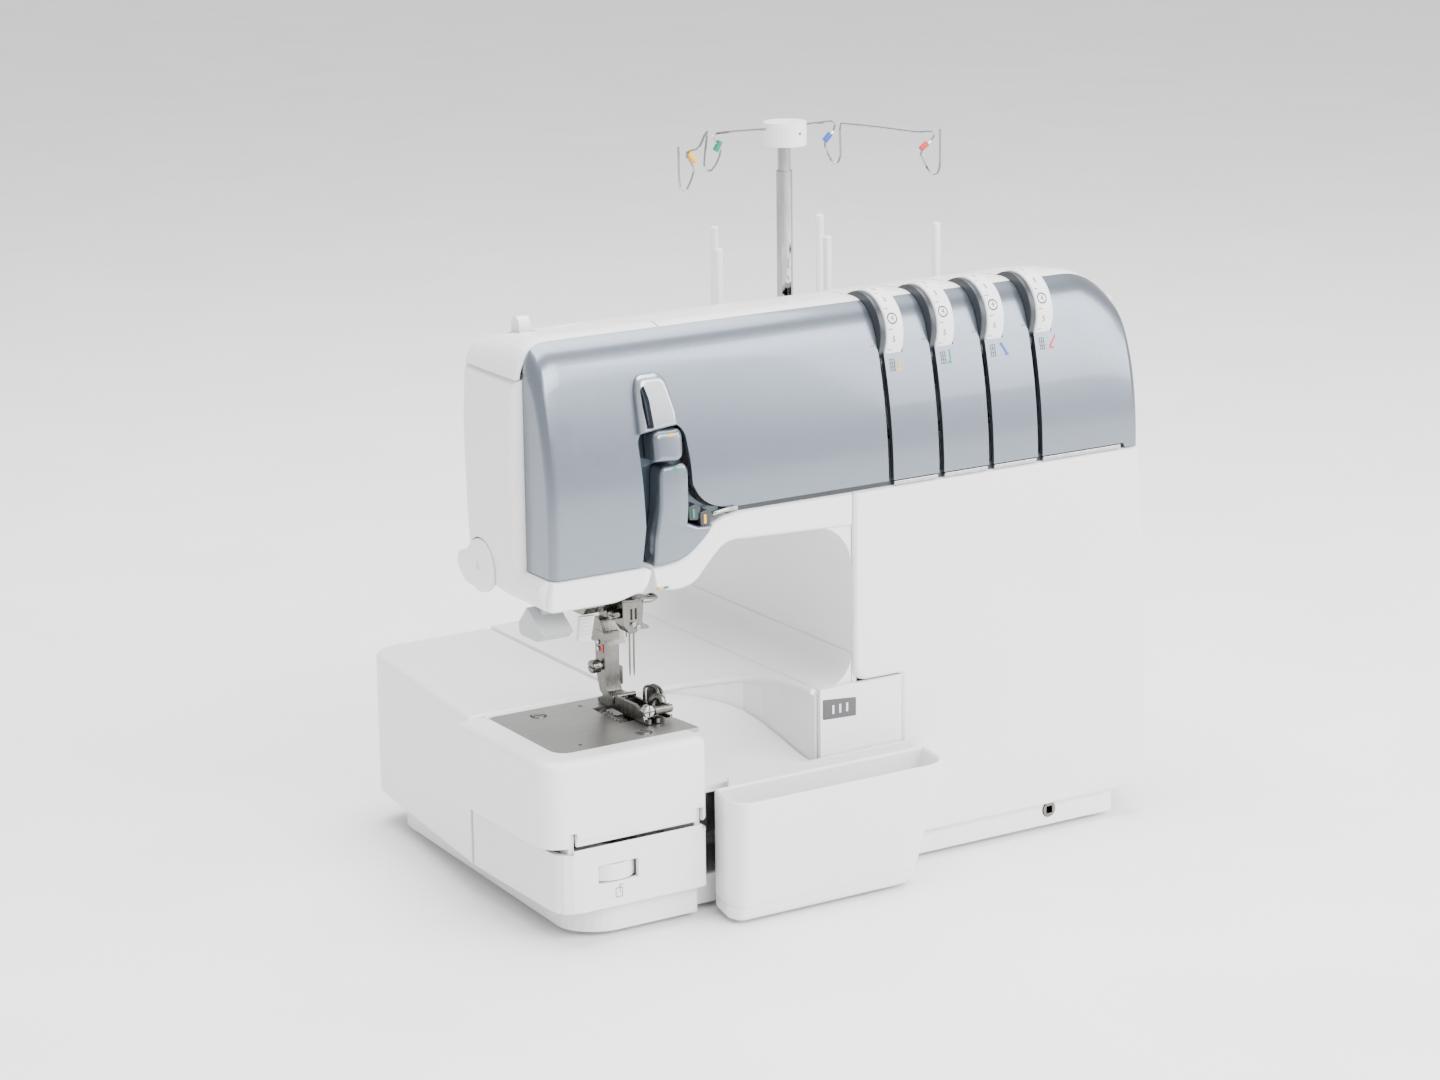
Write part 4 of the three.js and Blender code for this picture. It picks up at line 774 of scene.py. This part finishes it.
def make_presser():
    """The foot, its shank and screws, and the tape guide with its knob and thread loop."""
    side = [(57, 128.5, 1), (66, 128.5, 1), (66, 112), (64.6, 104), (62.5, 98.4), (56, 94.6), (50, 94.4),
            (49.4, 97), (55, 99.6), (56.8, 105), (57, 112)]
    shank = slab("x", side, -112, -103.8)
    join(shank, block(-104.4, -101.6, 57.6, 66, 101, 110))
    cut(shank, block(-109.6, -101, 60, 70, 113, 124))
    add_piece(shank, "presser_shank", "presser", "plated_steel", width=0.4)
    screw = round_bar("x", 60, 111.6, 3.3, -118.2, -113.4, 24, 0.6)
    join(screw, round_bar("x", 60, 111.6, 2.1, -114, -111.8, 20))
    cut(screw, block(-119, -117.2, 56, 64, 111.2, 112))
    cut(screw, *[block(x, x + 0.4, 56, 64, 108, 108.8) for x in (-116.2, -115.0)])
    add_piece(screw, "presser_screw", "presser", "plated_steel", width=0)
    nuts = [round_bar("x", 62.6, z, 1.2, -112.8, -111.6, 16, 0.3) for z in (119.4, 122.6)]
    add_piece(join(*nuts), "shank_rivets", "presser", "bright_chrome", width=0)
    add_piece(block(-112.35, -111.8, 57.8, 59.6, 118, 122.2), "shank_mark", "presser", "red", width=0.1)

    plan = [(-111.4, 66, 1), (-111.4, 30, 3), (-110.8, 19.6, 1.2), (-108.4, 19.2, 1), (-108, 25),
            (-106.2, 25), (-105.8, 19.4, 1), (-103.2, 19.6, 1.2), (-102.2, 26, 2), (-98.6, 30, 1),
            (-98.6, 49, 1), (-101, 66, 1)]
    sole = slab("z", plan, 91.9, 94)
    cut(sole, block(-108.2, -102.8, 37, 49, 90, 96))
    rail = [(66, 93.4, 0.5), (60, 96.6, 1), (46, 98.8, 2), (30, 99.2, 2), (23, 96.4, 1.5), (21, 93.4)]
    join(sole, slab("x", rail, -111.4, -109.6))
    join(sole, slab("x", [(56, 93), (52, 97, 1), (38, 97, 1), (34, 93)], -101, -99.6))
    join(sole, round_bar("x", 51, 97.3, 1.5, -112.2, -99, 18, 0.3), block(-109.8, -102, 24, 33, 93.8, 95.6))
    add_piece(sole, "presser_foot_sole", "presser", "plated_steel", ["presser_foot"], 0.3)
    button = round_bar("y", -108.2, 97.2, 3.1, 21.6, 25.5, 24, 0.6)
    cut(button, block(-111, -105, 20, 22.3, 96.9, 97.5), block(-108.5, -107.9, 20, 22.3, 94, 101))
    add_piece(button, "foot_screw", "presser", "bright_chrome", width=0)
    tube = round_bar("x", 24.5, 96.6, 2.3, -104.6, -94.6, 24, 0.5)
    cut(tube, block(-103.2, -93, 23.4, 25.6, 97.6, 100))
    add_piece(tube, "foot_tape_guide", "presser", "plated_steel", width=0.15)
    knob = [(-100.4, 34, 94), (-99.8, 33, 98.6), (-98.4, 31.6, 100.6), (-97.2, 29.6, 100.2),
            (-97, 28.4, 98.2)]
    add_piece(raw(tube_along(knob, 1.9, 14)), "foot_guide_knob", "presser", "plated_steel", width=0)
    loop = [(-100.2, 40, 96.4), (-100, 40.4, 102), (-98.8, 40, 103.8), (-97.2, 37, 104.2), (-96.8, 34, 103.6),
            (-97, 32, 101.4)]
    add_piece(raw(tube_along(loop, 0.75, 10)), "foot_guide_loop", "presser", "plated_steel", width=0)


def make_under_head():
    """What shows between the head and the presser: holder, thread cutter, threader wires and knife."""
    holder = slab("x", [(49, 141.5, 1), (60, 141.5, 1), (60, 160.5), (45, 160.5), (45, 147, 1)], -128, -111)
    join(holder, block(-116.4, -110.6, 46.5, 62, 141.6, 146), block(-131, -119, 44, 50, 146, 160.5))
    cut(holder, block(-121.8, -120.8, 44, 50, 142.6, 146), block(-126, -116, 43, 47, 152, 156))
    add_piece(holder, "presser_holder", "machine", "plated_steel", width=0.4)
    tab = slab("y", [(-134.2, 131.2, 1), (-127.4, 130.6, 1), (-125, 142.6), (-133, 143)], 42.6, 45)
    for k in range(5):
        z = 133.2 + 1.9 * k
        join(tab, block(-132.8, -127, 42, 43.2, z, z + 0.8))
    add_piece(tab, "thread_cutter", "machine", "white_satin", width=0.3)
    for i, dx in enumerate((0, 1.7)):
        wire = raw(tube_along([(-113 + dx, 49.5, 141), (-109.6 + dx, 49.2, 137.4), (-106.6 + dx, 49.2, 132.6),
                               (-105.6 + dx, 49.6, 127)], 0.4, 8))
        add_piece(wire, f"threader_wire_{i + 1}", "machine", "bright_chrome", width=0)
    side = [(29.5, 97, 1), (33, 92), (46.8, 92), (46.8, 100, 2), (42, 104.5, 3), (33, 104, 4)]
    knife = slab("x", side, -95.2, -94)
    join(knife, block(-95.2, -92.6, 40.2, 45.8, 72, 94))
    add_piece(knife, "knife_blade", "knife", "plated_steel", ["upper_knife"], 0.15)


# ---------------------------------------------------------------- dials, marks and wires
def text_mesh(bm, text, size, matrix):
    """Adds one generic numeral to a mesh, centred on its matrix."""
    curve = bpy.data.curves.new("numeral", "FONT")
    curve.body = text
    curve.size = size * MM
    curve.extrude = 0.05 * MM
    curve.align_x, curve.align_y = "CENTER", "CENTER"
    obj = bpy.data.objects.new("numeral", curve)
    bpy.context.scene.collection.objects.link(obj)
    graph = bpy.context.evaluated_depsgraph_get()
    mesh = bpy.data.meshes.new_from_object(obj.evaluated_get(graph))
    mesh.transform(matrix)
    bm.from_mesh(mesh)
    bpy.data.objects.remove(obj)
    bpy.data.meshes.remove(mesh)


def box_mesh(bm, matrix, x, y, z):
    """Adds a small box to a mesh, centred on its matrix."""
    bmesh.ops.create_cube(bm, size=MM, matrix=matrix @ Matrix.Diagonal((x, y, z, 1)))


def rim_matrix(x, y, z, radius, angle):
    """A frame on a wheel's rim about x, its third axis pointing outwards; 0 is up and 90 is to the front."""
    c, s = math.cos(math.radians(angle)), math.sin(math.radians(angle))
    turn = Matrix(((1, 0, 0), (0, c, -s), (0, s, c))).to_4x4()
    return Matrix.Translation(at(x, y - radius * s, z + radius * c)) @ turn


def mesh_piece(bm, name, body, material):
    mesh = bpy.data.meshes.new(name)
    bm.to_mesh(mesh)
    bm.free()
    obj = bpy.data.objects.new(name, mesh)
    bpy.context.scene.collection.objects.link(obj)
    dress(obj, body, material)


def make_dials():
    """Four tension wheels with thumb grips, numerals and ticks, each with a dark disc beside it as painted
    shadow in its slot.
    """
    y, z = DIAL["y"], DIAL["z"]
    for i, slot in enumerate(SLOTS):
        node = f"tension_dial_{i + 1}"
        low, high = ((v - ORIGIN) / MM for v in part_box(node))
        radius = DIAL["r"] - 0.15
        wheel = round_bar("x", y, z, radius, low.x, high.x, 72, 1.1)
        reach = radius + 0.5
        for k in range(36):
            angle = 2 * math.pi * k / 36
            cut(wheel, round_bar("x", y + reach * math.sin(angle), z + reach * math.cos(angle), 0.85,
                                 high.x - 1.7, high.x + 1, 8))
        cut(wheel, round_bar("x", y, z, 3.2, low.x - 1, high.x + 1, 24))
        add_piece(wheel, f"tension_wheel_{i + 1}", f"dial_{i + 1}", "white_shell", [node], 0)
        # A dark disc in the slot at the wheel's side: painted shadow of the gap beside the wheel.
        slot_shadow_disc = round_bar("x", y, z, DIAL["r"] - 0.9, slot - 1.3, low.x - 0.35, 64, 0.4)
        cut(slot_shadow_disc, round_bar("x", y, z, 3.4, slot - 3, low.x + 1, 24))
        add_piece(slot_shadow_disc, f"dial_slot_shadow_{i + 1}", "machine", "dark_plastic", width=0)
        bm = bmesh.new()
        middle = (low.x + high.x) / 2 - 1.0
        for k in range(10):
            angle = 66 + 30 * (k - 4)
            place_on = rim_matrix(middle, y, z, radius, angle)
            text_mesh(bm, str(k), 4.0, place_on)
            if k == 4:
                for step in range(24):
                    t = 2 * math.pi * step / 24
                    offset = Vector((2.5 * math.cos(t), 2.5 * math.sin(t), -0.1)) * MM
                    spot = place_on @ Matrix.Translation(offset)
                    box_mesh(bm, spot @ Matrix.Rotation(t, 4, "Z"), 0.6, 0.8, 0.2)
            if k < 9:
                box_mesh(bm, rim_matrix(low.x + 2.2, y, z, radius, angle + 15), 2.2, 0.35, 0.1)
        mesh_piece(bm, f"tension_numbers_{i + 1}", f"dial_{i + 1}", "mark_ink")


def on_front(x, z, out=0.05):
    """A frame on the arm's leaning front."""
    slope = math.atan((lean(z + 1) - lean(z - 1)) / 2)
    return Matrix.Translation(at(x, lean(z) - out, z)) @ Matrix.Rotation(math.pi / 2 - slope, 4, "X")


def make_front_marks():
    """Below each dial a small grid, and a stroke in its thread colour that is tilted for the last two."""
    tilts, shifts = (0, 0, 30, -38), (0, 0, 2.4, 2.4)
    widths, lengths, feet = (0.8, 0.8, 1.3, 0.8), (6.2, 6.2, 6.2, 7.2), (-0.6, -0.6, 1.6, -0.6)
    for i, slot in enumerate(SLOTS):
        ink = bmesh.new()
        for k in range(4):
            box_mesh(ink, on_front(slot + 5.6, 249.4 + 1.8 * k), 3.0, 0.3, 0.1)
        for k in range(3):
            box_mesh(ink, on_front(slot + 4.4 + 1.2 * k, 252), 0.28, 5.6, 0.1)
        box_mesh(ink, on_front(slot - 4.2, 262.0), 2.4, 0.35, 0.1)
        mesh_piece(ink, f"tension_icon_{i + 1}", "machine", "mark_ink")
        tint = bmesh.new()
        x = slot + 9.6 + shifts[i]
        turned = on_front(x, 252.6) @ Matrix.Rotation(math.radians(tilts[i]), 4, "Z")
        box_mesh(tint, turned, widths[i], lengths[i], 0.1)
        box_mesh(tint, on_front(x + feet[i], 249.6), 2.2, 1.0, 0.1)
        mesh_piece(tint, f"tension_colour_{i + 1}", "machine", THREAD_COLOURS[i])


def make_small_marks():
    """A plain label plate with three bars and no text, and the width icon under the width wheel."""
    outline = [(-24.2, 84.2, 0.5), (-5.2, 83.4, 0.5), (-5.2, 92.6, 0.5), (-24.2, 94.2, 0.5)]
    plate = raw(soft_slab("y", outline, -0.45, 0.3, 0.15, 0.1))
    add_piece(plate, "label_plate", "machine", "label_grey", width=0)
    bm = bmesh.new()
    front = Matrix.Rotation(math.pi / 2, 4, "X")
    for k in range(3):
        box_mesh(bm, Matrix.Translation(at(-18.5 + 4 * k, -0.5, 88.6)) @ front, 1.1, 4.4, 0.1)
    mesh_piece(bm, "label_bars", "machine", "white_satin")
    bm = bmesh.new()
    for x, z, w, h in ((-144.5, 21.6, 3.6, 0.3), (-144.5, 26.0, 3.6, 0.3), (-146.2, 23.8, 0.3, 4.4),
                       (-142.8, 23.8, 0.3, 4.4), (-144.0, 25.8, 0.3, 4.2), (-143.0, 27.4, 1.6, 0.3)):
        box_mesh(bm, Matrix.Translation(at(x, BLOCK["front"] - 0.02, z)) @ front, w, h, 0.12)
    mesh_piece(bm, "width_icon", "machine", "mark_ink")


def make_wire_clips():
    """Coloured sleeves on the four thread guide eyelets of the mast."""
    clips = (
        ("yellow", -44.6, 350.6, -41.0, 345.8), ("green", -29.6, 350.0, -26.8, 354.6),
        ("blue", 33.4, 349.4, 36.8, 352.8), ("red", 90.8, 340.4, 94.8, 343.0),
    )
    for colour, x0, z0, x1, z1 in clips:
        sleeve = tube_along([(x0, 84, z0), ((x0 + x1) / 2, 84, (z0 + z1) / 2), (x1, 84, z1)], 1.5, 14, 4)
        add_piece(raw(sleeve), f"guide_clip_{colour}", "mast_upper", colour, width=0.3)


def make_details():
    make_needle_clamp()
    make_presser()
    make_under_head()
    make_dials()
    make_front_marks()
    make_small_marks()
    make_wire_clips()


# ---------------------------------------------------------------- CAD nodes kept as they are
SLOT_MATERIAL = {
    "white_plastic": "white_shell", "silver_paint": "silver_paint", "dark_plastic": "dark_plastic",
    "grey_plastic": "grey_plastic", "plated_steel": "plated_steel", "plate_steel": "plate_steel",
    "chrome": "bright_chrome", "casting": "casting", "rubber": "rubber", "board": "board",
}
DEFAULT_EDGE = 0.5
EDGE = {
    "needle_1": 0.05, "needle_2": 0.05, "feed_dogs": 0.08, "lower_looper": 0.2, "upper_looper": 0.2,
    "free_arm_casing": 1.6, "base_pan": 1.2, "bed_casing": 0.9, "rear_casing": 2.2, "mast_cap": 1.0,
    "spool_stand": 0.7, "handwheel": 1.2, "upper_knife": 0.2, "lower_knife": 0.2, "stitch_plate": 0.3,
    "presser_foot": 0.25, "drive_belt": 0.2,
}


def dress_cad_nodes():
    """Finishes and soft edges for every CAD node; the needles are darker than the other chrome."""
    for part in frame["record"]["subparts"]:
        name, slot = part["node"], part["material_slot"]
        finish = SLOT_MATERIAL[slot]
        if slot == "chrome" and name.startswith("needle_"):
            finish = "plated_steel"
        node = frame["nodes"][name]
        node.data.materials.clear()
        node.data.materials.append(MATERIALS[finish])
        node.data.shade_smooth()
        soften(node, EDGE.get(name, DEFAULT_EDGE), 2, 30)


# ---------------------------------------------------------------- studio
def add_light(name, location, target, width, height, power):
    data = bpy.data.lights.new(name, "AREA")
    data.shape = "RECTANGLE"
    data.size, data.size_y = width, height
    data.energy = power
    lamp = bpy.data.objects.new(name, data)
    bpy.context.scene.collection.objects.link(lamp)
    lamp.location = location
    lamp.rotation_euler = (Vector(target) - Vector(location)).to_track_quat("-Z", "Y").to_euler()


CAMERA_AT = (-925.6, -1370.6, 605)
CAMERA_ANGLES = (31.6348, 14.7121, -0.6674)      # azimuth, downward pitch and roll in degrees
LENS, SENSOR = 89.16, 36


def make_lights():
    world = bpy.data.worlds.new("studio")
    bpy.context.scene.world = world
    world.use_nodes = True
    background = world.node_tree.nodes["Background"]
    background.inputs["Color"].default_value = (1, 1, 1, 1)
    background.inputs["Strength"].default_value = 1.12
    add_light("key softbox", (0.2, -1.9, 1.5), (0, 0, 0.12), 1.4, 1.2, 62)
    add_light("right softbox", (1.4, -1.4, 1.0), (0, 0, 0.15), 1.0, 1.4, 40)
    add_light("top softbox", (0.0, 0.2, 1.7), (0, 0, 0.1), 1.8, 1.2, 58)


def make_floor():
    mesh = bpy.data.meshes.new("floor")
    bm = bmesh.new()
    bmesh.ops.create_grid(bm, x_segments=4, y_segments=4, size=6)
    bm.to_mesh(mesh)
    bm.free()
    floor = bpy.data.objects.new("floor", mesh)
    bpy.context.scene.collection.objects.link(floor)
    moulded("floor_paper", (0.95, 0.95, 0.95), 0.5, 0.6, 900, 0.000005)
    mesh.materials.append(MATERIALS["floor_paper"])


def make_camera():
    """The camera that the photo's perspective gives."""
    data = bpy.data.cameras.new("camera")
    data.lens, data.sensor_width = LENS, SENSOR
    data.clip_start, data.clip_end = 0.05, 30
    camera = bpy.data.objects.new("camera", data)
    bpy.context.scene.collection.objects.link(camera)
    bpy.context.scene.camera = camera
    azimuth, pitch, roll = (math.radians(a) for a in CAMERA_ANGLES)
    forward = Vector((math.sin(azimuth) * math.cos(pitch), math.cos(azimuth) * math.cos(pitch),
                      -math.sin(pitch)))
    level = Vector((math.cos(azimuth), -math.sin(azimuth), 0))
    up = level.cross(forward)
    right = level * math.cos(roll) + up * math.sin(roll)
    up = up * math.cos(roll) - level * math.sin(roll)
    turn = Matrix((right, up, -forward)).transposed().to_4x4()
    camera.matrix_world = Matrix.Translation(at(*CAMERA_AT)) @ turn


make_materials()
dress_cad_nodes()
make_shells()
make_details()
make_lights()
make_floor()
make_camera()
